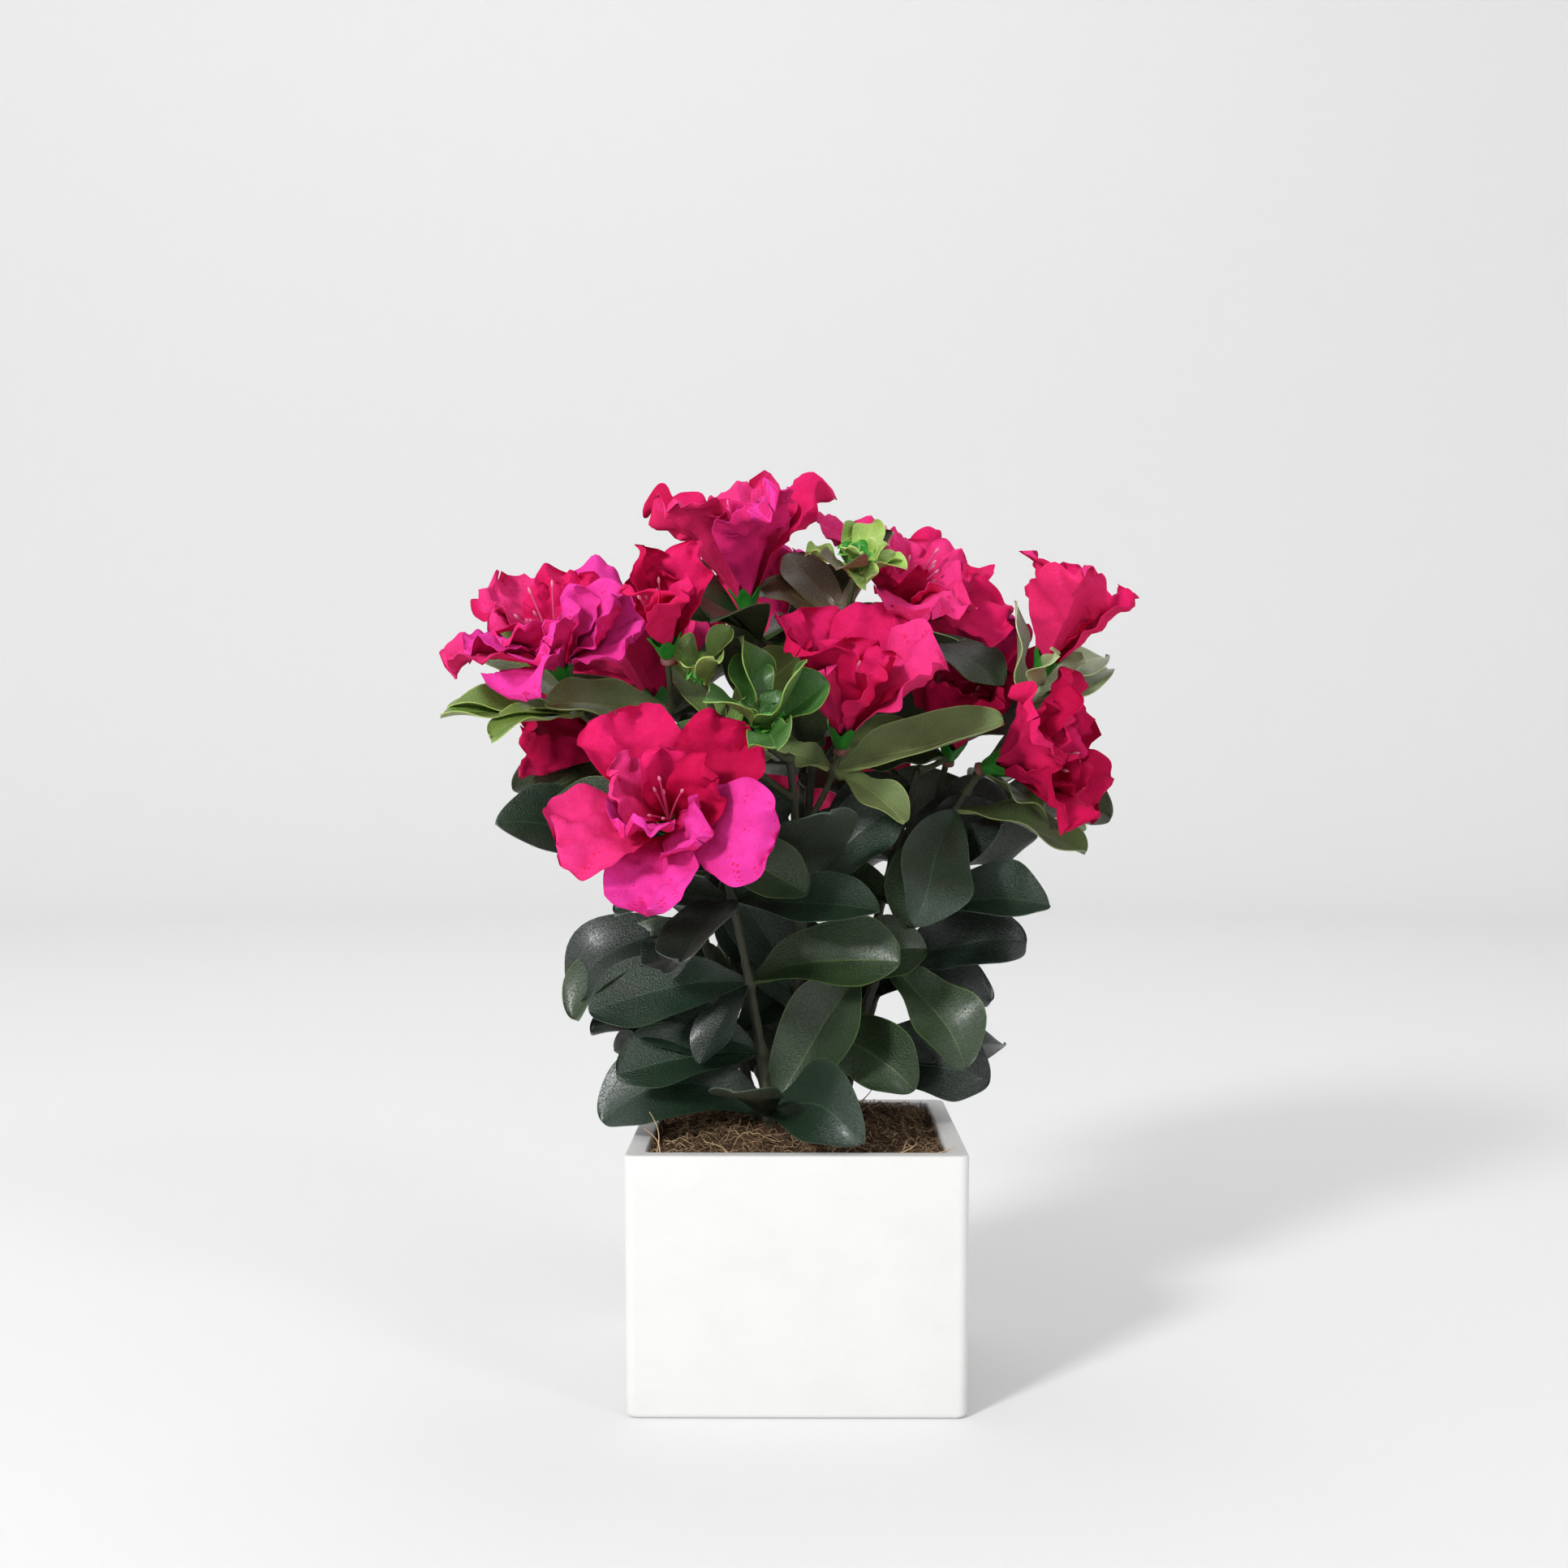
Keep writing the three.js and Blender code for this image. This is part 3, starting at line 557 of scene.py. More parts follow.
def grid_faces(rows, columns, closed=False):
    """Four-cornered faces over a grid of corners. Closed joins the last column to the first."""
    i, j = np.meshgrid(np.arange(rows - 1), np.arange(columns - (not closed)), indexing="ij")
    k = (j + 1) % columns
    corners = [i * columns + j, (i + 1) * columns + j, (i + 1) * columns + k, i * columns + k]
    return np.stack(corners, axis=-1).reshape(-1, 4)


def smooth(low, high, value):
    """0 below low, 1 above high, and an even bend between them."""
    share = np.clip((value - low) / (high - low), 0, 1)
    return share * share * (3 - 2 * share)


def mix(a, b, share):
    """From a at a share of 0 to b at 1."""
    return a + (b - a) * share


class Bench:
    """Corners and faces gathered for one joined mesh."""

    def __init__(self):
        self.points, self.faces, self.finishes, self.count = [], [], [], 0

    def add(self, points, faces, finish):
        """Adds corners, and faces that count from the first of them, with a finish for each face.

        Where the points are None, the faces stand on the corners that the next call adds.
        """
        self.faces.append(faces + self.count)
        self.finishes.append(np.broadcast_to(finish, len(faces)))
        if points is not None:
            self.points.append(points.reshape(-1, 3))
            self.count += len(self.points[-1])

    def add_shell(self, top, under, finishes, closed=False):
        """A closed shell between two grids of corners, with finishes for top, under and edge."""
        rows, columns = top.shape[:2]
        grid = np.arange(rows * columns).reshape(rows, columns)
        if closed:
            rims = [grid[0], grid[-1][::-1]]
        else:
            rims = [np.concatenate([grid[0, :-1], grid[:-1, -1], grid[-1, :0:-1], grid[:0:-1, 0]])]
        rim = np.concatenate([np.stack([r, np.roll(r, -1)], axis=1) for r in rims])
        faces = grid_faces(rows, columns, closed)
        size = grid.size
        face_sets = (faces, faces[:, ::-1] + size, np.hstack([rim, rim[:, ::-1] + size]))
        finish_sets = [np.broadcast_to(f, len(s)) for f, s in zip(finishes, face_sets)]
        both = np.concatenate([top.reshape(-1, 3), under.reshape(-1, 3)])
        self.add(both, np.concatenate(face_sets), np.concatenate(finish_sets))

    def add_tube(self, path, radii, sides, finish):
        """A closed tube along a path. The radii are one for each point, or one for each corner."""
        tangents = np.gradient(path, axis=0)
        tangents /= np.linalg.norm(tangents, axis=1)[:, None]
        guide = BACK if abs(tangents[0] @ BACK) < 0.8 else UP
        side = unit(np.cross(guide, tangents[0]))
        turn = -2 * math.pi * np.arange(sides) / sides
        rings = []
        for point, tangent, radius in zip(path, tangents, radii):
            side = unit(side - tangent * (side @ tangent))
            front = np.cross(tangent, side)
            out = np.outer(np.cos(turn), side) + np.outer(np.sin(turn), front)
            rings.append(point + out * np.reshape(radius, (-1, 1)))
        corners = np.concatenate([*rings, path[:1], path[-1:]])
        rows = len(path)
        ring_now = np.arange(sides)
        ring_next = np.roll(ring_now, -1)
        root, tip = np.full(sides, rows * sides), np.full(sides, rows * sides + 1)
        last = (rows - 1) * sides
        caps = np.concatenate([
            np.stack([root, ring_now, ring_next], axis=1),
            np.stack([tip, ring_next + last, ring_now + last], axis=1),
        ])
        self.add(None, grid_faces(rows, sides, closed=True), finish)
        self.add(corners, caps, finish)

    def build(self, name, finishes, stands_for=(), sharp=48):
        """Makes the piece, which rides on the body and stands for the named solids."""
        mesh = bpy.data.meshes.new(name)
        corners = np.concatenate([faces.ravel() for faces in self.faces])
        sizes = np.concatenate([np.full(len(faces), faces.shape[1]) for faces in self.faces])
        points = np.concatenate(self.points) * MM
        mesh.vertices.add(len(points))
        mesh.vertices.foreach_set("co", points.astype(np.float32).ravel())
        mesh.loops.add(len(corners))
        mesh.loops.foreach_set("vertex_index", corners.astype(np.int32))
        mesh.polygons.add(len(sizes))
        mesh.polygons.foreach_set("loop_start", (np.cumsum(sizes) - sizes).astype(np.int32))
        mesh.polygons.foreach_set(
            "material_index", np.concatenate(self.finishes).astype(np.int32)
        )
        mesh.polygons.foreach_set("use_smooth", np.ones(len(sizes), bool))
        mesh.update(calc_edges=True)
        mesh.validate()
        mesh.set_sharp_from_angle(angle=math.radians(sharp))
        for finish in finishes:
            mesh.materials.append(finish)
        piece = bpy.data.objects.new(name, mesh)
        bpy.context.scene.collection.objects.link(piece)
        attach(piece, "root")
        if stands_for:
            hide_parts(*stands_for)
        return piece


def ripples(seed, count, reach):
    """A soft repeatable unevenness: a sum of waves of several sizes in two or three directions."""
    random = np.random.default_rng(seed)
    size = random.uniform(0.4, 1, count) * reach
    ways = random.normal(size=(count, 3))
    ways *= (2 * math.pi / size / np.linalg.norm(ways, axis=1))[:, None]
    starts = random.uniform(0, 2 * math.pi, count)
    return lambda points: np.sin(points @ ways.T + starts).sum(axis=-1) / count**0.5


# ---- Finishes ---------------------------------------------------------------------------------


class Signal:
    """One output of a finish. Sums on it add Math nodes."""

    def __init__(self, finish, socket):
        self.finish, self.socket = finish, socket

    def __add__(self, other):
        return self.finish.sum("ADD", self, other)

    def __sub__(self, other):
        return self.finish.sum("SUBTRACT", self, other)

    def __rsub__(self, other):
        return self.finish.sum("SUBTRACT", other, self)

    def __mul__(self, other):
        return self.finish.sum("MULTIPLY", self, other)

    def __pow__(self, other):
        return self.finish.sum("POWER", self, other)

    __radd__ = __add__
    __rmul__ = __mul__


class Finish:
    """A procedural material under construction."""

    def __init__(self, name):
        self.material = bpy.data.materials.new(name)
        self.material.use_nodes = True
        self.tree = self.material.node_tree
        self.tree.nodes.clear()

    def node(self, kind, settings=None, inputs=None, output=0):
        """Adds a node: its settings first, then its sockets by name or number, as values or links."""
        made = self.tree.nodes.new(kind)
        for key, value in (settings or {}).items():
            setattr(made, key, value)
        for key, value in (inputs or {}).items():
            if isinstance(value, Signal):
                self.tree.links.new(value.socket, made.inputs[key])
            else:
                made.inputs[key].default_value = value
        return Signal(self, made.outputs[output]) if made.outputs else None

    def sum(self, operation, a, b):
        """A Math node on two signals or numbers."""
        return self.node("ShaderNodeMath", {"operation": operation}, {0: a, 1: b})

    def mix(self, factor, a, b):
        """A blend of two colours, from a at 0 to b at 1."""
        factor_socket, a_socket, b_socket, colour_output = 0, 6, 7, 2
        inputs = {factor_socket: factor, a_socket: a, b_socket: b}
        return self.node("ShaderNodeMix", {"data_type": "RGBA"}, inputs, colour_output)

    def place(self, stretch=(1, 1, 1)):
        """The place on the object, in metres, stretched along its axes."""
        here = self.node("ShaderNodeTexCoord", output=3)
        return self.node("ShaderNodeVectorMath", {"operation": "MULTIPLY"}, {0: here, 1: stretch})

    def grain(self, size, detail, stretch=(1, 1, 1), rough=0.5):
        """Noise from 0 to 1 whose grains are about this many metres across."""
        return self.node("ShaderNodeTexNoise", inputs={
            "Vector": self.place(stretch), "Scale": 1 / size, "Detail": detail, "Roughness": rough,
        })

    def bump(self, height, depth, strength, under=None):
        """A bump of this many metres from a height of 0 to 1, over another bump if one is given."""
        inputs = {"Strength": strength, "Distance": depth, "Height": height}
        if under:
            inputs["Normal"] = under
        return self.node("ShaderNodeBump", inputs=inputs)

    def surface(self, **inputs):
        """Closes the finish with its surface shader, sockets named with _ for a space."""
        named = {key.replace("_", " "): value for key, value in inputs.items()}
        shader = self.node("ShaderNodeBsdfPrincipled", inputs=named)
        self.node("ShaderNodeOutputMaterial", inputs={"Surface": shader})
        return self.material


def colour(code):
    """A linear colour with alpha from a six-digit code such as f0e8d0."""
    parts = [int(code[i:i + 2], 16) / 255 for i in (0, 2, 4)]
    linear = [p / 12.92 if p <= 0.04045 else ((p + 0.055) / 1.055) ** 2.4 for p in parts]
    return (*linear, 1.0)


# Leaf tones as the colours of the upper side, the midrib, the edge and the underside.
LEAF_TONES = {
    "deep": ("1b2f20", "2c4430", "2c402c", "252e20"),
    "dark": ("131f17", "213426", "22332a", "1d251a"),
    "moss": ("283a20", "42582c", "465c2c", "343e20"),
    "olive": ("44562e", "627442", "687644", "525c34"),
    "sage": ("6a7c4c", "8a9a60", "909e60", "747e4c"),
    "fresh": ("6c8c3e", "8cac56", "a4ba5c", "74823e"),
    "pale": ("90a272", "a6b680", "acba80", "94a06e"),
    "bronze": ("50422a", "685632", "645c34", "684a30"),
    "lime": ("98b854", "a8c668", "bad278", "86a44a"),
    "green": ("3c682c", "568240", "84a244", "507030"),
    "bright": ("38962c", "54a83e", "6cb440", "3e9030"),
}
# Petal tones as the colours of the throat, the tip and the outside, and how many steps lead from the
# throat to the tip. The throats and outsides are set somewhat lighter than the cloth's own colour: this
# is painted light that stands in for the light shining through the thin petals.
PETAL_TONES = {
    "pink": ("b80038", "de3a9c", "d4266e"),
    "coral": ("bc0030", "de347c", "d42660"),
    "rose": ("ae002a", "d21c60", "cc1a54"),
    "cherry": ("94001e", "bc0e48", "b40c42"),
}
PETAL_STEPS = 7


def shaded(base, factor):
    """A colour made darker or lighter."""
    return (*(min(1, factor * part) for part in base[:3]), 1)


def leaf_finish(name, code, gloss):
    """Coated leaf cloth: glossy, with the grain of the cloth breaking up its shine."""
    finish = Finish(name)
    cloth = finish.grain(0.0006, detail=2, rough=0.6)
    mottle = finish.grain(0.007, detail=3)
    base = colour(code)
    return finish.surface(
        Base_Color=finish.mix(mottle, shaded(base, 0.72), shaded(base, 1.3)),
        Roughness=gloss + 0.2 * cloth + 0.1 * mottle,
        Normal=finish.bump(cloth, 0.0006, 0.7),
        Specular_IOR_Level=0.4,
        Coat_Weight=2.4 * cloth - 0.75,
        Coat_Roughness=0.34,
    )


def petal_finish(name, base):
    """Petal cloth: matt and finely woven. Its colour is partly the cloth's own and partly painted light
    and shade.
    """
    finish = Finish(name)
    weave = finish.grain(0.0006, detail=3)
    crinkle = finish.grain(0.003, detail=3)
    under = finish.bump(crinkle, 0.0005, 0.5)
    return finish.surface(
        Base_Color=finish.mix(weave, shaded(base, 0.78), shaded(base, 1.2)),
        Roughness=0.75,
        Normal=finish.bump(weave, 0.00012, 0.6, under),
        Specular_IOR_Level=0.08,
    )


def petal_finishes():
    """For each petal tone, the steps from its throat to its tip, and its outside."""
    finishes = []
    for name, codes in PETAL_TONES.items():
        throat, tip, outside = (np.array(colour(code)) for code in codes)
        for i in range(PETAL_STEPS):
            share = (i / (PETAL_STEPS - 1)) ** 0.8  # the throat's colour stays short
            finishes.append(petal_finish(f"petal_{name}_{i}", throat + (tip - throat) * share))
        finishes.append(petal_finish(f"petal_{name}_outside", outside))
    return finishes


def bark_finish(name, codes):
    """Moulded stem sleeve: olive brown, streaked along its length."""
    finish = Finish(name)
    streak = finish.grain(0.0012, detail=4, stretch=(1, 1, 0.16))
    blotch = finish.grain(0.009, detail=3)
    low, high, pale = (colour(code) for code in codes)
    shade = finish.mix(streak, low, high)
    return finish.surface(
        Base_Color=finish.mix(0.55 * blotch ** 2, shade, pale),
        Roughness=0.5 + 0.3 * streak,
        Normal=finish.bump(streak, 0.0004, 0.7),
    )


def fibre_finish(name, codes):
    """Dull coconut fibre, uneven along each strand."""
    finish = Finish(name)
    strand = finish.grain(0.0007, detail=4)
    low, high = (colour(code) for code in codes)
    return finish.surface(
        Base_Color=finish.mix(strand, low, high),
        Roughness=0.9,
        Normal=finish.bump(strand, 0.0006, 0.8),
        Specular_IOR_Level=0.2,
    )


def glaze_finish(name, codes):
    """Satin white with faint grey clouds and a very fine pitting."""
    finish = Finish(name)
    cloud = finish.grain(0.018, detail=5, stretch=(1, 1, 1.6), rough=0.6)
    pit = finish.grain(0.0005, detail=2)
    low, high = (colour(code) for code in codes)
    return finish.surface(
        Base_Color=finish.mix(cloud ** 2, high, low),
        Roughness=0.42 + 0.16 * cloud,
        Normal=finish.bump(pit, 0.0001, 0.25),
    )


def plain_finish(name, code, roughness):
    """Moulded plastic with a slight unevenness of colour and surface."""
    finish = Finish(name)
    uneven = finish.grain(0.0015, detail=3)
    base = colour(code)
    return finish.surface(
        Base_Color=finish.mix(uneven, shaded(base, 0.7), base),
        Roughness=roughness,
        Normal=finish.bump(uneven, 0.0001, 0.4),
    )


# ---- Leaves -----------------------------------------------------------------------------------

LEAF_ROWS = 25
# The columns of a leaf from edge to edge. The middle pair bounds the midrib, the outer pairs the edge.
LEAF_COLUMNS = np.array([-1, -0.97, -0.8, -0.56, -0.3, -0.026, 0.026, 0.3, 0.56, 0.8, 0.97, 1])
PETIOLE = 0.75  # half the width of a leaf's stalk
LEAST_HALF = 0.1  # half the width that a leaf keeps at its very tip
TOP, RIB, EDGE, UNDER = range(4)  # the order of a tone's finishes

# The tone of the leaves on each spray's twig. Those of the whorls are dealt out by height.
SPRAY_TONES = {
    "bloom_left": "fresh", "bud_right": "pale", "young_top": "bronze", "young_front": "green",
    "young_left": "fresh", "bud_left": "sage", "bloom_centre": "sage", "bloom_right": "olive",
}
LOW_TONES = ("deep", "dark", "deep", "moss", "deep", "dark")
HIGH_TONES = ("moss", "olive", "deep", "green")
HIGH = 165  # whorls above this height have the lighter tones
FRONT_DEPTH = 4  # masses whose roots are nearer than this make the pieces at the front
# The tones of a young head's leaves: those of its lowest ring, and those above it.
YOUNG_TONES = {
    "young_top": (("lime", "bronze", "lime"), "lime"), "young_left": (("fresh",), "fresh"),
}
OTHER_YOUNG = (("green",), "green")
LIME_LENGTH = 0.66  # the length of a lowest leaf that is lime, as a share of the others'


def add_leaf(bench, blade, tone, random, stalk=PETIOLE):
    """A coated leaf on its stalk.

    Its edge waves in two sizes, its halves fold up or down, its length bends a little like an S, its
    tip droops or lifts, its midrib is sunken, and the whole leaf twists.
    """
    settings = bpy.context.scene.azalea
    t = np.linspace(0, 1, LEAF_ROWS)
    along, across = np.meshgrid(1 - (1 - t) ** 1.7, LEAF_COLUMNS, indexing="ij")
    middle, flat, crest = blade_path(blade, along)
    length = blade["length"]
    stalk_share = 1 - smooth(0.08, 0.24, along)
    body = 1 - stalk_share
    tip_point = 1 - 0.25 * smooth(0.76, 1, along)
    half = np.maximum(blade_half(blade, along) * tip_point, stalk * stalk_share)
    half = np.maximum(half, LEAST_HALF)
    waves, starts = random.uniform(0.9, 2.4), random.uniform(0, 2 * math.pi, 4)
    wave = settings.leaf_wave / MM * random.uniform(0.5, 1.5)
    off = blade_rise(blade, along, across, half)
    off = off + body * wave * np.abs(across) ** 1.5 * np.sin(
        2 * math.pi * waves * along + starts[0] + 1.2 * across
    )
    off = off + body * 0.3 * wave * across**2 * np.sin(5.5 * math.pi * along + starts[1] + across)
    off = off + random.uniform(-0.06, 0.24) * half * np.abs(across) ** 1.2 * body
    off = off + 0.016 * length * body * np.sin(2.2 * math.pi * along + starts[2])
    off = off - random.uniform(-0.15, 0.8) * length * np.clip(along - 0.66, 0, 1) ** 2
    off = off - 0.45 * np.exp(-((across / 0.16) ** 2)) * body * np.sin(math.pi * along)
    twist = random.uniform(-0.4, 0.4) * along**1.5
    off = off + twist * half * across
    sheet = middle + flat * (half * across)[..., None]
    thick = mix(settings.leaf_thickness / MM, 2 * stalk, stalk_share) / 2
    columns = np.full(len(LEAF_COLUMNS) - 1, TOP)
    columns[[0, -1]] = EDGE
    columns[len(columns) // 2] = RIB
    tops = np.tile(columns, LEAF_ROWS - 1)
    bench.add_shell(
        sheet + crest * (off + thick)[..., None], sheet + crest * (off - thick)[..., None],
        (tops + 4 * tone, UNDER + 4 * tone, EDGE + 4 * tone),
    )


def tone_finishes(names, gloss):
    """Four finishes for each tone named: upper side, midrib, edge and underside."""
    parts = ("top", "rib", "edge", "under")
    shine = (gloss, gloss + 0.08, gloss + 0.12, gloss + 0.2)
    return [
        leaf_finish(f"leaf_{name}_{part}", code, value)
        for name in names for part, code, value in zip(parts, LEAF_TONES[name], shine)
    ]


def halves(masses):
    """The masses in two lots, those that stand in front and those that stand behind."""
    front = [mass for mass in masses if mass["root"][1] < FRONT_DEPTH]
    return front, [mass for mass in masses if mass["root"][1] >= FRONT_DEPTH]


def even_draws(random):
    """A function that draws from -1 to 1, as the growth rule's own streams do."""
    return lambda: random.uniform(-1, 1)


def make_leaves():
    """The leaves of the whorls and of the sprays' twigs, as a front piece and a back piece."""
    masses = grown()[1].values()
    names = list(LEAF_TONES)
    finishes = tone_finishes(names, bpy.context.scene.azalea.leaf_gloss)
    random = np.random.default_rng(11)
    for side, lot in zip(("front", "back"), halves(masses)):
        bench = Bench()
        for mass in lot:
            for blade in mass["leaves"]:
                choice = HIGH_TONES if mass["root"][2] > HIGH else LOW_TONES
                whorl_tone = choice[int(random.integers(len(choice)))]
                tone = SPRAY_TONES.get(mass["name"], "moss" if mass["head"] else whorl_tone)
                add_leaf(bench, blade, names.index(tone), random)
        whorls = [mass["name"] for mass in lot if not mass["head"]]
        bench.build(f"leaves_{side}", finishes, whorls)


def make_young_leaves():
    """The heads of young leaves: the grown ones, and small ones in the heart of each head."""
    names = ["lime", "green", "fresh", "bright", "bronze", "moss"]
    finishes = tone_finishes(names, bpy.context.scene.azalea.leaf_gloss + 0.05)
    random = np.random.default_rng(12)
    draw = even_draws(random)
    bench = Bench()
    heads = [mass for mass in grown()[1].values() if mass["name"].startswith("young")]
    for mass in heads:
        low, high = YOUNG_TONES.get(mass["name"], OTHER_YOUNG)
        lowest = HEADS["young"][0]["count"]
        for i, blade in enumerate(mass["head"]):
            tone = low[i % len(low)] if i < lowest else high
            length = blade["length"] * (LIME_LENGTH if tone == "lime" and i < lowest else 1)
            young = dict(blade, kind=ROUND_LEAF, length=length)
            add_leaf(bench, young, names.index(tone), random, stalk=0.5)
        if high == "lime":
            for blade in ring_blades(mass["spray"], LIME_RING, draw):
                add_leaf(bench, blade, names.index(high), random, stalk=0.5)
        for blade in ring_blades(mass["spray"], HEART_RING, draw):
            add_leaf(bench, blade, names.index("bright"), random, stalk=0.4)
    bench.build("young_leaves", finishes, [mass["name"] for mass in heads])


# ---- Petals -----------------------------------------------------------------------------------

PETAL_ROWS = 27
PETAL_COLUMNS = 23
# Where along a petal each step of its tone ends.
PETAL_ZONES = np.array([0.2, 0.29, 0.38, 0.48, 0.6, 0.74])
CRUMPLE = ripples(41, 26, 9)  # the fine unevenness of the petals' cloth

# The tones of a bloom's petals, dealt out in turn from its first petal round. The dark cherry and rose
# tones are partly painted shade: they are dealt to the petals that stand in shade, such as the upper
# petals of the front bloom and the petals of the inner, shaded blooms.
BLOOM_TONES = {
    "bloom_front": ("pink", "cherry", "rose", "coral", "pink"),
    "bloom_left": ("pink", "pink", "rose", "coral", "pink"),
    "bud_left": ("rose", "cherry", "rose"),
    "bloom_centre": ("coral", "rose", "rose", "cherry"),
    "bloom_top": ("rose", "coral", "rose", "coral", "pink"),
    "bloom_top_right": ("rose", "coral", "coral"),
    "bud_right": ("rose", "coral", "coral"),
    "bloom_right": ("cherry", "cherry", "rose"),
    "bloom_inner_right": ("cherry", "cherry"),
    "bloom_far_left": ("cherry", "rose"),
    "bloom_inner_left": ("rose", "coral"),
}
OTHER_TONES = ("coral", "pink", "rose", "coral", "rose")


def add_petal(bench, blade, tone, random, crumpled):
    """A fabric petal.

    Its margin is lobed, and ruffled in three sizes of wave. It is creased along its length, folded
    down its middle, rolled up or back at its tip, and crumpled all over. The streaks let the steps of
    its tone run out unevenly.
    """
    settings = bpy.context.scene.azalea
    t = np.linspace(0, 1, PETAL_ROWS)
    s = np.sin(np.linspace(-0.5, 0.5, PETAL_COLUMNS) * math.pi)
    along, across = np.meshgrid(1 - (1 - t) ** 1.6, s, indexing="ij")
    length = blade["length"]
    starts = random.uniform(0, 2 * math.pi, 9)
    grip = smooth(0.1, 0.55, along)
    width = across * np.minimum(swell(blade["kind"], along), 1)
    reach = np.clip(np.hypot(width, 2 * along - 1), 0, 1)
    round_tip = np.arctan2(width, 2 * along - 1)
    lobes = 0.055 * np.sin(2.4 * round_tip + starts[0]) + 0.03 * np.sin(6.1 * round_tip + starts[1])
    lobes = 1 + grip * reach * (lobes + 0.014 * np.sin(14 * round_tip + starts[2]))
    middle, flat, crest = blade_path(blade, 0.5 + (along - 0.5) * lobes)
    half = np.maximum(blade_half(blade, along), 0.5) * lobes
    ruffle = settings.ruffle * crumpled * length * reach**2.5 * grip
    turn = random.uniform(3, 4.4) * round_tip + starts[3]
    off = blade_rise(blade, along, across, half)
    off = off + ruffle * np.sin(turn + 0.6 * np.sin(turn))
    off = off + 0.5 * ruffle * np.sin(2.3 * turn + starts[4])
    off = off + 0.2 * ruffle * np.sin(5.3 * turn + starts[5])
    crease = np.sin((6 + 2 * along) * across + starts[6] + 1.5 * np.sin(5 * along + starts[7]))
    off = off + 0.012 * crumpled * length * crease * grip
    off = off - 0.035 * length * np.exp(-((across / 0.17) ** 2)) * np.sin(math.pi * along) ** 0.8
    off = off - random.uniform(-0.06, 0.1) * length * smooth(0.66, 1, reach) ** 2 * grip
    sheet = middle + flat * (half * across)[..., None]
    off = off + settings.crumple / MM * crumpled * grip * CRUMPLE(sheet)
    thick = settings.petal_thickness / MM / 2 * (1.5 - along)
    face_along = along[:-1, :-1] + np.diff(along, axis=0)[:, :-1] / 2
    streak = 0.05 * np.sin(11 * across[:-1, :-1] + starts[8]) * np.cos(23 * across[:-1, :-1])
    tops = np.searchsorted(PETAL_ZONES, (face_along + streak).ravel())
    first = tone * (PETAL_STEPS + 1)
    bench.add_shell(
        sheet + crest * (off + thick)[..., None], sheet + crest * (off - thick)[..., None],
        (tops + first, PETAL_STEPS + first, PETAL_STEPS - 1 + first),
    )


def is_bloom(mass):
    """True for a mass whose head is a bloom."""
    return bool(mass["head"]) and mass["spray"]["head"] != "young"


def make_petals():
    """The petals of all blooms: the grown outer ring and the rings inside it."""
    finishes = petal_finishes()
    tones = list(PETAL_TONES)
    blooms = [mass for mass in grown()[1].values() if is_bloom(mass)]
    random = np.random.default_rng(13)
    draw = even_draws(random)
    for side, lot in zip(("front", "back"), halves(blooms)):
        bench = Bench()
        for mass in lot:
            spray = mass["spray"]
            dealt = [tones.index(name) for name in BLOOM_TONES.get(mass["name"], OTHER_TONES)]
            rings = [INNER_RINGS[spray["head"]]] + [FULL_RING] * (mass["name"] == FULLEST)
            inner = (blade for kind in rings for blade in ring_blades(spray, kind, draw))
            for i, blade in enumerate(mass["head"]):
                kind = SLIM_PETAL if spray["head"] == "tall" else blade["kind"]
                shaped = dict(blade, kind=kind)
                add_petal(bench, shaped, dealt[i % len(dealt)], random, crumpled=1.2)
            for i, blade in enumerate(inner, 1):
                add_petal(bench, blade, dealt[i % len(dealt)], random, crumpled=1.5)
        bench.build(f"petals_{side}", finishes, [mass["name"] for mass in lot])


# ---- Calyxes and stamens ----------------------------------------------------------------------

SEPALS = 5
CUP_SIDES, CUP_ROWS = 60, 9
CUP_WALL = 0.55
SEPAL, COLLAR, FILAMENT, ANTHER = range(4)  # the order of the piece's finishes


def add_calyx(bench, spray):
    """The green cup under a bloom, cut into pointed sepals, on a short brown collar."""
    side, front, axis = head_frame(spray)
    length = CALYX["length"]
    foot = np.array(spray["seat"], float) - axis * length * 0.85
    turn, up = np.meshgrid(
        np.arange(CUP_SIDES) * 2 * math.pi / CUP_SIDES, np.linspace(0, 1, CUP_ROWS)
    )
    point = np.abs(((turn * SEPALS / 2 / math.pi) % 1) - 0.5) * 2
    height = length * 1.2 * up * mix(0.66, 1, smooth(0, 1, point))
    radius = mix(CALYX["root"], CALYX["mouth"] - 0.7, up**0.6) + 1.5 * smooth(0.55, 1, up) * point
    out = side * np.cos(turn)[..., None] + front * np.sin(turn)[..., None]
    cup = foot + axis * height[..., None] + out * radius[..., None]
    bench.add_shell(cup, cup - out * CUP_WALL, (SEPAL, SEPAL, SEPAL), closed=True)
    collar = np.array([foot - axis * 2.2, foot - axis * 1.6, foot - axis * 0.3, foot + axis * 0.4])
    bench.add_tube(collar, [1.4, 2.3, 2.2, 1.5], 16, COLLAR)


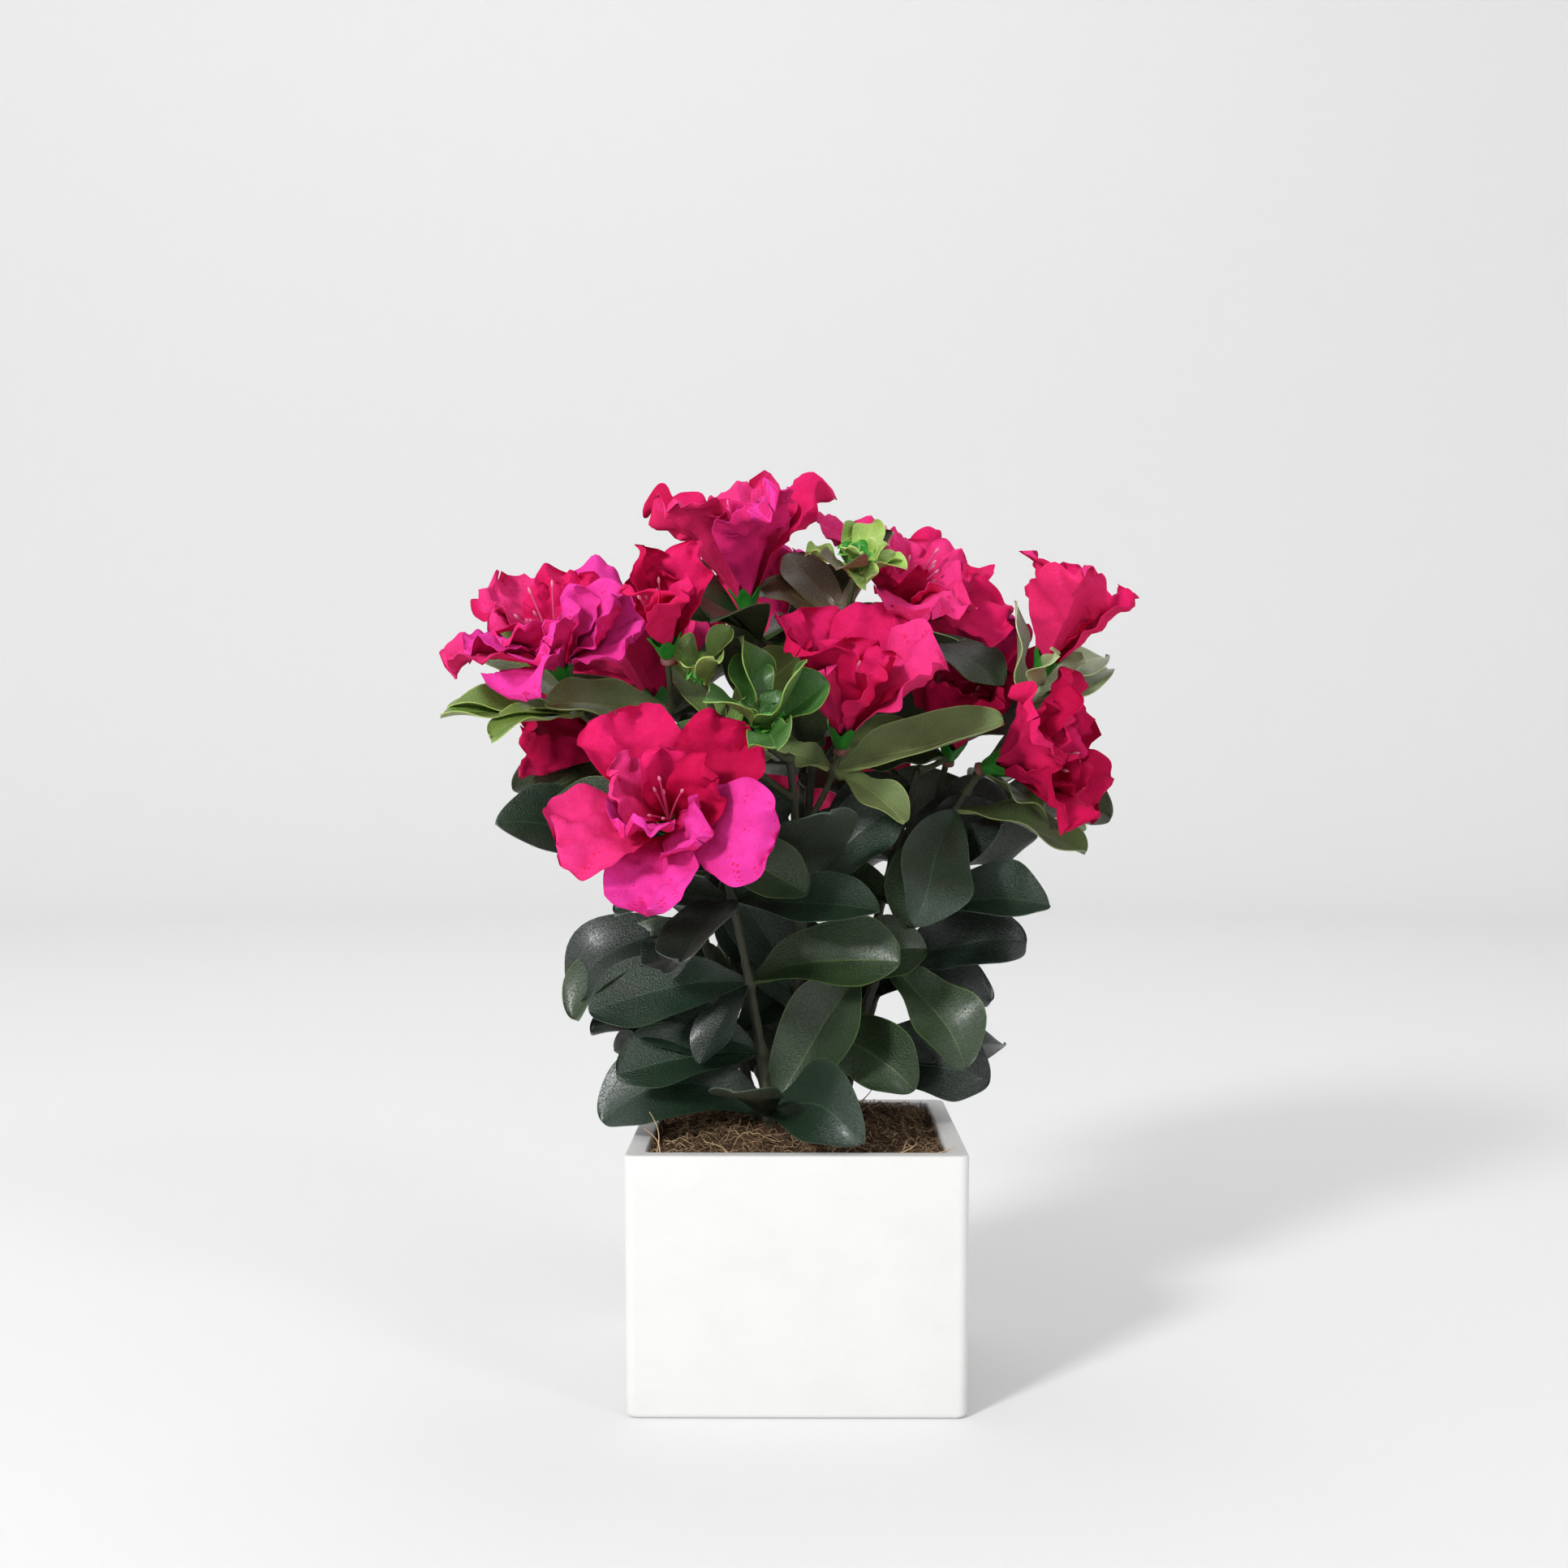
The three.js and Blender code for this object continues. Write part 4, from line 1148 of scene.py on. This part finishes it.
def add_stamens(bench, spray, random):
    """Curved filaments with pale ends, which stand in the throat."""
    side, front, axis = head_frame(spray)
    seat = np.array(spray["seat"], float)
    reach = 0.62 * HEADS[spray["head"]][0]["length"] * spray["size"]
    for _ in range(int(random.integers(6, 9))):
        turn = random.uniform(0, 2 * math.pi)
        out = side * math.cos(turn) + front * math.sin(turn)
        lean, length = random.uniform(0.08, 0.34), reach * random.uniform(0.7, 1.1)
        share = np.linspace(0, 1, 12)[:, None]
        path = seat + axis * length * share + out * length * lean * (share + 0.6 * share**2)
        bench.add_tube(path, np.linspace(0.42, 0.26, 12), 8, FILAMENT)
        tip_way = unit(path[-1] - path[-2])
        bead = path[-1] + tip_way * np.linspace(-0.6, 1.9, 7)[:, None]
        bench.add_tube(bead, 0.5 * np.sin(np.linspace(0.25, math.pi - 0.25, 7)), 8, ANTHER)


def make_calyxes():
    """The green cups and the stamens of all blooms."""
    finishes = [
        plain_finish("sepal_green", "2c8428", 0.45), plain_finish("collar_brown", "7c4c44", 0.6),
        plain_finish("filament_pink", "dc4c86", 0.5), plain_finish("anther_pale", "e88aa8", 0.5),
    ]
    bench = Bench()
    random = np.random.default_rng(14)
    for mass in grown()[1].values():
        if is_bloom(mass):
            add_calyx(bench, mass["spray"])
            add_stamens(bench, mass["spray"], random)
    bench.build("calyxes_and_stamens", finishes)


# ---- Stems and twigs --------------------------------------------------------------------------

STEM_BARK, TWIG_BARK = range(2)  # the order of the finishes of stems and twigs
NODE_HEIGHT, NODE_LENGTH = 0.75, 1.8  # the swelling at a node


def add_limb(bench, limb, rings, sides, nodes, finish, unevenness):
    """A limb with ridges along it and swellings at its nodes."""
    share = np.linspace(0, 1, rings)
    path = limb_point(limb, share)
    length = np.linalg.norm(limb["tip"] - limb["root"])
    turn = -2 * math.pi * np.arange(sides) / sides
    swelling = 0 * share
    for at in nodes:
        swelling = swelling + NODE_HEIGHT * np.exp(-(((share - at) * length / NODE_LENGTH) ** 2))
    radius = (mix(limb["thick"], limb["thin"], share) + swelling)[:, None]
    ridge = 0.06 * np.sin(5 * turn + 0.02 * length * share[:, None] * 6)
    spots = path[:, None] + np.stack([np.cos(turn), np.sin(turn), 0 * turn], axis=-1) * 1.5
    bench.add_tube(path, radius * (1 + ridge + 0.07 * unevenness(spots)), sides, finish)


def make_stems():
    """The stems, swollen where their whorls sit, and the twigs."""
    finishes = [
        bark_finish("stem_bark", ("20221a", "3e4230", "505339")),
        bark_finish("twig_bark", ("262c1b", "434c2e", "585a38")),
    ]
    stems, masses = grown()
    unevenness = ripples(21, 12, 5)
    bench = Bench()
    for name, limb in stems.items():
        nodes = [mass["at"] for mass in masses.values() if mass["stem"] == name and "at" in mass]
        add_limb(
            bench, limb, rings=130, sides=14, nodes=nodes, finish=STEM_BARK, unevenness=unevenness
        )
    bench.build("stems", finishes, [f"stem_{name}" for name in stems])
    twigs = Bench()
    for mass in masses.values():
        if "twig" in mass:
            add_limb(
                twigs, mass["twig"], rings=44, sides=12, nodes=[0.02, RING_AT],
                finish=TWIG_BARK, unevenness=unevenness,
            )
    twigs.build("twigs", finishes)


# ---- Planter and fibre ------------------------------------------------------------------------

LIP = 0.7  # the radius that rounds the planter's rim
CORNER_STEPS, FLAT_STEPS = 9, 4  # points round each corner, and steps along each side
BEND_STEPS = 5  # rings over each rounded edge
BED_STEPS = 120  # points along each side of the bed
STRAND_POINTS = 7  # points along a loose strand

# The tones of the loose strands as low and high colours, and the share of the strands in each.
FIBRE_TONES = {
    "dark": ("2e221a", "54402f"), "brown": ("4d392b", "7c624a"),
    "tan": ("8c6e50", "bc9e7c"), "gold": ("b4966a", "dcc29c"),
}
FIBRE_SHARES = (0.28, 0.34, 0.25, 0.13)

# Loose strands that stand up from the bed: foot and tip.
STRAYS = (
    ((-41, -40, 75), (-43, -43, 87.5)),
    ((-40, -42, 75), (-45, -39, 82)),
    ((40, -42, 75), (46, -44, 77.8)),
    ((30, -41, 75), (35, -44, 79)),
    ((-20, -42, 75), (-27, -43.4, 79)),
    ((20, 42, 75), (27, 44, 84)),
    ((-42, 20, 75), (-45, 27, 83)),
)
STRAY_TONE = list(FIBRE_TONES).index("gold")


def rounded_ring(width, radius, height):
    """A level outline of a square with round corners."""
    half = width / 2 - radius
    quarter_turn = np.linspace(0, math.pi / 2, CORNER_STEPS)
    corners = []
    for quarter, signs in enumerate([(1, 1), (-1, 1), (-1, -1), (1, -1)]):
        turn = quarter * math.pi / 2 + quarter_turn
        arc = half * np.array(signs) + radius * np.stack([np.cos(turn), np.sin(turn)], axis=1)
        corners.append(arc)
    points = []
    for arc, following in zip(corners, corners[1:] + corners[:1]):
        points.append(arc)
        share = np.arange(1, FLAT_STEPS)[:, None] / FLAT_STEPS
        points.append(arc[-1] + (following[0] - arc[-1]) * share)
    level = np.concatenate(points)
    return np.column_stack([level, np.full(len(level), height)])


def make_planter():
    """The planter: one skin from the middle of its floor over the rim to the middle of its foot."""
    width, height, floor = PLANTER["width"], PLANTER["height"], PLANTER["floor"]
    corner, foot = PLANTER["corner"], PLANTER["foot"]
    inside = width - 2 * PLANTER["wall"]
    bends = [(1 - math.cos(a), 1 - math.sin(a)) for a in np.linspace(0, math.pi / 2, BEND_STEPS)]

    def outer(z):
        return width - PLANTER["taper"] * (1 - z / height)

    rings = np.array([
        rounded_ring(inside - 4, corner / 2, floor),
        rounded_ring(inside, corner / 2, floor + 1),
        rounded_ring(inside, corner / 2, height / 2),
        *(rounded_ring(inside + 2 * LIP * c, corner / 2 + LIP, height - LIP * s) for c, s in bends),
        *(rounded_ring(width - 2 * LIP * s, corner, height - LIP * c) for c, s in bends),
        *(rounded_ring(outer(z), corner, z) for z in (60, 40, 20)),
        *(rounded_ring(outer(0) - 2 * foot * c, corner, foot * s) for c, s in bends),
    ])
    rows, columns = rings.shape[:2]
    bench = Bench()
    bench.add(None, grid_faces(rows, columns, closed=True)[:, ::-1], 0)
    here, following = np.arange(columns), np.roll(np.arange(columns), -1)
    middle_in, middle_out = rows * columns, rows * columns + 1
    last = (rows - 1) * columns
    caps = np.concatenate([
        np.stack([np.full(columns, middle_in), here, following], axis=1),
        np.stack([np.full(columns, middle_out), following + last, here + last], axis=1),
    ])
    centres = np.array([[0, 0, floor], [0, 0, 0]], float)
    bench.add(np.concatenate([rings.reshape(-1, 3), centres]), caps, 0)
    glaze = glaze_finish("planter_glaze", ("d3d3d1", "dddddb"))
    bench.build("planter_shell", [glaze], ["planter"], sharp=30)


def make_fibre():
    """The bed of fibre, and the loose strands that lie on it."""
    settings = bpy.context.scene.azalea
    half = PLANTER["width"] / 2 - PLANTER["wall"] - CLEARANCE
    clump = ripples(31, 30, 7)
    fine = ripples(32, 40, 2)

    def surface(x, y):
        """The height of the bed: level at the rim, domed to its middle, and lumpy."""
        reach = np.maximum(np.abs(x), np.abs(y)) / half
        level = mix(FIBRE["edge"] - 1.2, FIBRE["crown"] - 0.6, 1 - smooth(0.45, 1, reach))
        spots = np.stack([x, y, 0 * x], axis=-1)
        return level + 0.7 * clump(spots) + 0.5 * fine(spots)

    steps = np.linspace(-half, half, BED_STEPS)
    x, y = np.meshgrid(steps, steps, indexing="ij")
    top = np.stack([x, y, surface(x, y)], axis=-1)
    base = np.stack([x, y, np.full_like(x, PLANTER["floor"] + CLEARANCE)], axis=-1)
    bed = Bench()
    bed.add_shell(top, base, (0, 0, 0))
    mat = fibre_finish("fibre_mat", ("281d15", "6a5340"))
    bed.build("fibre_mat", [mat], ["fibre_bed"])

    random = np.random.default_rng(33)
    strands = Bench()
    for _ in range(settings.strands):
        start = random.uniform(-half + 0.6, half - 0.6, 2)
        length = random.gamma(3, 2.4) + 2
        share = np.linspace(-0.5, 0.5, STRAND_POINTS)
        way = random.uniform(0, 2 * math.pi) + random.uniform(-2.4, 2.4) * share
        steps_xy = np.stack([np.cos(way), np.sin(way)], axis=1) * length / (STRAND_POINTS - 1)
        xy = np.clip(start + np.cumsum(steps_xy, axis=0), -half + 0.3, half - 0.3)
        lift = random.uniform(-0.1, 0.7) + min(random.exponential(0.9), 3) * (0.25 - share**2) * 4
        path = np.column_stack([xy, surface(xy[:, 0], xy[:, 1]) + lift])
        thick = random.uniform(0.05, 0.14)
        ends = np.interp(np.linspace(0, 1, STRAND_POINTS), [0, 0.2, 0.8, 1], [0.4, 1, 1, 0.3])
        tone = int(random.choice(len(FIBRE_TONES), p=FIBRE_SHARES))
        strands.add_tube(path, ends * thick, 3, tone)
    for foot, tip in STRAYS:
        share = np.linspace(0, 1, 9)[:, None]
        foot, tip = np.array(foot, float), np.array(tip, float)
        bow = np.array([1.2, 0.8, 0]) * np.sin(share * math.pi) * 1.2
        path = foot + (tip - foot) * share + bow
        strands.add_tube(path, np.linspace(0.22, 0.1, 9), 5, STRAY_TONE)
    tones = [fibre_finish(f"fibre_{name}", codes) for name, codes in FIBRE_TONES.items()]
    strands.build("fibre_strands", tones)


# ---- Stage ------------------------------------------------------------------------------------

FOCAL_PIXELS = 2280  # the camera's focal length in pixels of a frame this many pixels wide
FRAME_PIXELS = 1932
SENSOR_MM = 36
CAMERA_PLACE = (0, -0.584, 0.18)
CAMERA_TILT, CAMERA_TURN = 90.35, 0.39  # in degrees, from looking straight down and to the back
PLANT = (0, 0, 0.16)  # what the lamps round the plant point at
# Each lamp's place, what it points at, its width and its power.
LIGHTS = {
    "key": ((-1.3, -1.8, 1.15), PLANT, 0.42, 43),
    "side": ((1.7, -1.7, 1.4), PLANT, 0.6, 9),
    "overhead": ((0.1, 0.75, 2.1), PLANT, 1.1, 5),
    "backdrop": ((-0.3, 1.3, 2.4), (-0.5, 3.2, 1.1), 1.6, 10.5),
}
FLOOR_SIDES = 96
FLOOR_REACH, FLOOR_BEND, FLOOR_TOP = 2300, 900, 3600  # how far it is flat, its sweep and its height


def make_stage():
    """A round pale floor that sweeps up on all sides, the lamps, the light all round and the camera."""
    scene = bpy.context.scene
    settings = scene.azalea
    profile = [(reach, 0) for reach in (0, 600, 1500, FLOOR_REACH)]
    for a in np.linspace(0, math.pi / 2, 13)[1:]:
        profile.append((FLOOR_REACH + FLOOR_BEND * math.sin(a), FLOOR_BEND * (1 - math.cos(a))))
    profile += [(FLOOR_REACH + FLOOR_BEND, height) for height in (2000, FLOOR_TOP)]
    turn = np.arange(FLOOR_SIDES) * 2 * math.pi / FLOOR_SIDES
    rings = np.array([
        [[max(r, 1) * math.cos(a), max(r, 1) * math.sin(a), z] for a in turn] for r, z in profile
    ])
    mesh = bpy.data.meshes.new("floor")
    faces = grid_faces(len(profile), FLOOR_SIDES, closed=True).tolist()
    faces.append(list(range(FLOOR_SIDES)))
    mesh.from_pydata((rings.reshape(-1, 3) * MM).tolist(), [], faces)
    mesh.polygons.foreach_set("use_smooth", np.ones(len(mesh.polygons), bool))
    paper = Finish("paper")
    pale = (*settings.floor_colour, 1)
    mesh.materials.append(paper.surface(Base_Color=pale, Roughness=0.85, Specular_IOR_Level=0.1))
    floor = bpy.data.objects.new("floor", mesh)
    scene.collection.objects.link(floor)
    floor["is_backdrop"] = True

    for name, (place, aim, size, power) in LIGHTS.items():
        light = bpy.data.lights.new(name, "AREA")
        light.shape, light.size, light.energy = "DISK", size, power * settings.light
        lamp = bpy.data.objects.new(name, light)
        lamp.location = place
        lamp.rotation_euler = (Vector(aim) - Vector(place)).to_track_quat("-Z", "Y").to_euler()
        scene.collection.objects.link(lamp)

    world = bpy.data.worlds.new("studio")
    world.use_nodes = True
    background = world.node_tree.nodes["Background"]
    background.inputs["Color"].default_value = (1, 1, 1, 1)
    background.inputs["Strength"].default_value = settings.room_light
    scene.world = world
    scene.view_settings.view_transform = "Standard"

    lens = bpy.data.cameras.new("camera")
    lens.sensor_width = SENSOR_MM
    lens.lens = FOCAL_PIXELS / FRAME_PIXELS * SENSOR_MM
    lens.clip_start = 0.01
    camera = bpy.data.objects.new("camera", lens)
    camera.location = CAMERA_PLACE
    camera.rotation_euler = (math.radians(CAMERA_TILT), 0, math.radians(CAMERA_TURN))
    scene.collection.objects.link(camera)
    scene.camera = camera


# ---- Add-on -----------------------------------------------------------------------------------


class AzaleaSettings(bpy.types.PropertyGroup):
    """The sizes and lights that are easily changed."""

    petal_thickness: bpy.props.FloatProperty(
        name="Petal thickness", description="Thickness of the petal cloth",
        default=0.00028, min=0.0001, subtype="DISTANCE", unit="LENGTH",
    )
    leaf_thickness: bpy.props.FloatProperty(
        name="Leaf thickness", description="Thickness of the coated leaf cloth",
        default=0.0004, min=0.0001, subtype="DISTANCE", unit="LENGTH",
    )
    leaf_wave: bpy.props.FloatProperty(
        name="Leaf wave", description="How far a leaf's edge waves up and down",
        default=0.0012, min=0, subtype="DISTANCE", unit="LENGTH",
    )
    crumple: bpy.props.FloatProperty(
        name="Crumple", description="How far the petals are crumpled",
        default=0.0005, min=0, subtype="DISTANCE", unit="LENGTH",
    )
    ruffle: bpy.props.FloatProperty(
        name="Ruffle", description="How deeply the petals' margins are ruffled, as a share of length",
        default=0.06, min=0, max=0.2, subtype="FACTOR",
    )
    leaf_gloss: bpy.props.FloatProperty(
        name="Leaf roughness", description="Roughness of the leaves' coating",
        default=0.22, min=0, max=1, subtype="FACTOR",
    )
    strands: bpy.props.IntProperty(
        name="Strands", description="How many loose strands lie on the fibre", default=3600, min=0,
    )
    floor_colour: bpy.props.FloatVectorProperty(
        name="Floor", description="Colour of the floor", subtype="COLOR",
        default=(0.84, 0.84, 0.843), min=0, max=1,
    )
    light: bpy.props.FloatProperty(
        name="Lamps", description="Strength of all the lamps together", default=1, min=0,
    )
    room_light: bpy.props.FloatProperty(
        name="Room light", description="Strength of the light all round", default=0.6, min=0,
    )


class AZALEA_OT_planter(bpy.types.Operator):
    """Makes the square planter with its crisp rim"""

    bl_idname = "azalea.planter"
    bl_label = "Planter"

    def execute(self, context):
        make_planter()
        return {"FINISHED"}


class AZALEA_OT_fibre(bpy.types.Operator):
    """Lays the bed of coconut fibre and its loose strands"""

    bl_idname = "azalea.fibre"
    bl_label = "Fibre"

    def execute(self, context):
        make_fibre()
        return {"FINISHED"}


class AZALEA_OT_stems(bpy.types.Operator):
    """Grows the stems and the twigs with the relief of their sleeves"""

    bl_idname = "azalea.stems"
    bl_label = "Stems and twigs"

    def execute(self, context):
        make_stems()
        return {"FINISHED"}


class AZALEA_OT_leaves(bpy.types.Operator):
    """Sets the coated leaves of the whorls and sprays"""

    bl_idname = "azalea.leaves"
    bl_label = "Leaves"

    def execute(self, context):
        make_leaves()
        return {"FINISHED"}


class AZALEA_OT_young_leaves(bpy.types.Operator):
    """Sets the heads of young leaves"""

    bl_idname = "azalea.young_leaves"
    bl_label = "Young leaves"

    def execute(self, context):
        make_young_leaves()
        return {"FINISHED"}


class AZALEA_OT_petals(bpy.types.Operator):
    """Ruffles and sets the petals of the blooms"""

    bl_idname = "azalea.petals"
    bl_label = "Petals"

    def execute(self, context):
        make_petals()
        return {"FINISHED"}


class AZALEA_OT_calyxes(bpy.types.Operator):
    """Sets the calyxes and the stamens"""

    bl_idname = "azalea.calyxes"
    bl_label = "Calyxes and stamens"

    def execute(self, context):
        make_calyxes()
        return {"FINISHED"}


class AZALEA_OT_stage(bpy.types.Operator):
    """Sets the floor, the lights and the camera"""

    bl_idname = "azalea.stage"
    bl_label = "Stage"

    def execute(self, context):
        make_stage()
        return {"FINISHED"}


OPERATORS = (
    AZALEA_OT_stage, AZALEA_OT_planter, AZALEA_OT_fibre, AZALEA_OT_stems,
    AZALEA_OT_leaves, AZALEA_OT_young_leaves, AZALEA_OT_petals, AZALEA_OT_calyxes,
)


class AZALEA_PT_panel(bpy.types.Panel):
    """The sidebar panel that lists the pieces"""

    bl_idname = "AZALEA_PT_panel"
    bl_label = "Potted azalea"
    bl_space_type = "VIEW_3D"
    bl_region_type = "UI"
    bl_category = "Azalea"

    def draw(self, context):
        for name in AzaleaSettings.__annotations__:
            self.layout.prop(context.scene.azalea, name)
        for operator in OPERATORS:
            self.layout.operator(operator.bl_idname)


CLASSES = (AzaleaSettings, *OPERATORS, AZALEA_PT_panel)


def register():
    for kind in CLASSES:
        bpy.utils.register_class(kind)
    bpy.types.Scene.azalea = bpy.props.PointerProperty(type=AzaleaSettings)


def unregister():
    del bpy.types.Scene.azalea
    for kind in reversed(CLASSES):
        bpy.utils.unregister_class(kind)


def main():
    register()
    bpy.ops.azalea.stage()
    bpy.ops.azalea.planter()
    bpy.ops.azalea.fibre()
    bpy.ops.azalea.stems()
    bpy.ops.azalea.leaves()
    bpy.ops.azalea.young_leaves()
    bpy.ops.azalea.petals()
    bpy.ops.azalea.calyxes()
    boxes = {"cad": CAD_BOX, "visual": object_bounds()}
    plain = {name: [[float(v) for v in corner] for corner in box] for name, box in boxes.items()}


if __name__ == "__main__":
    main()
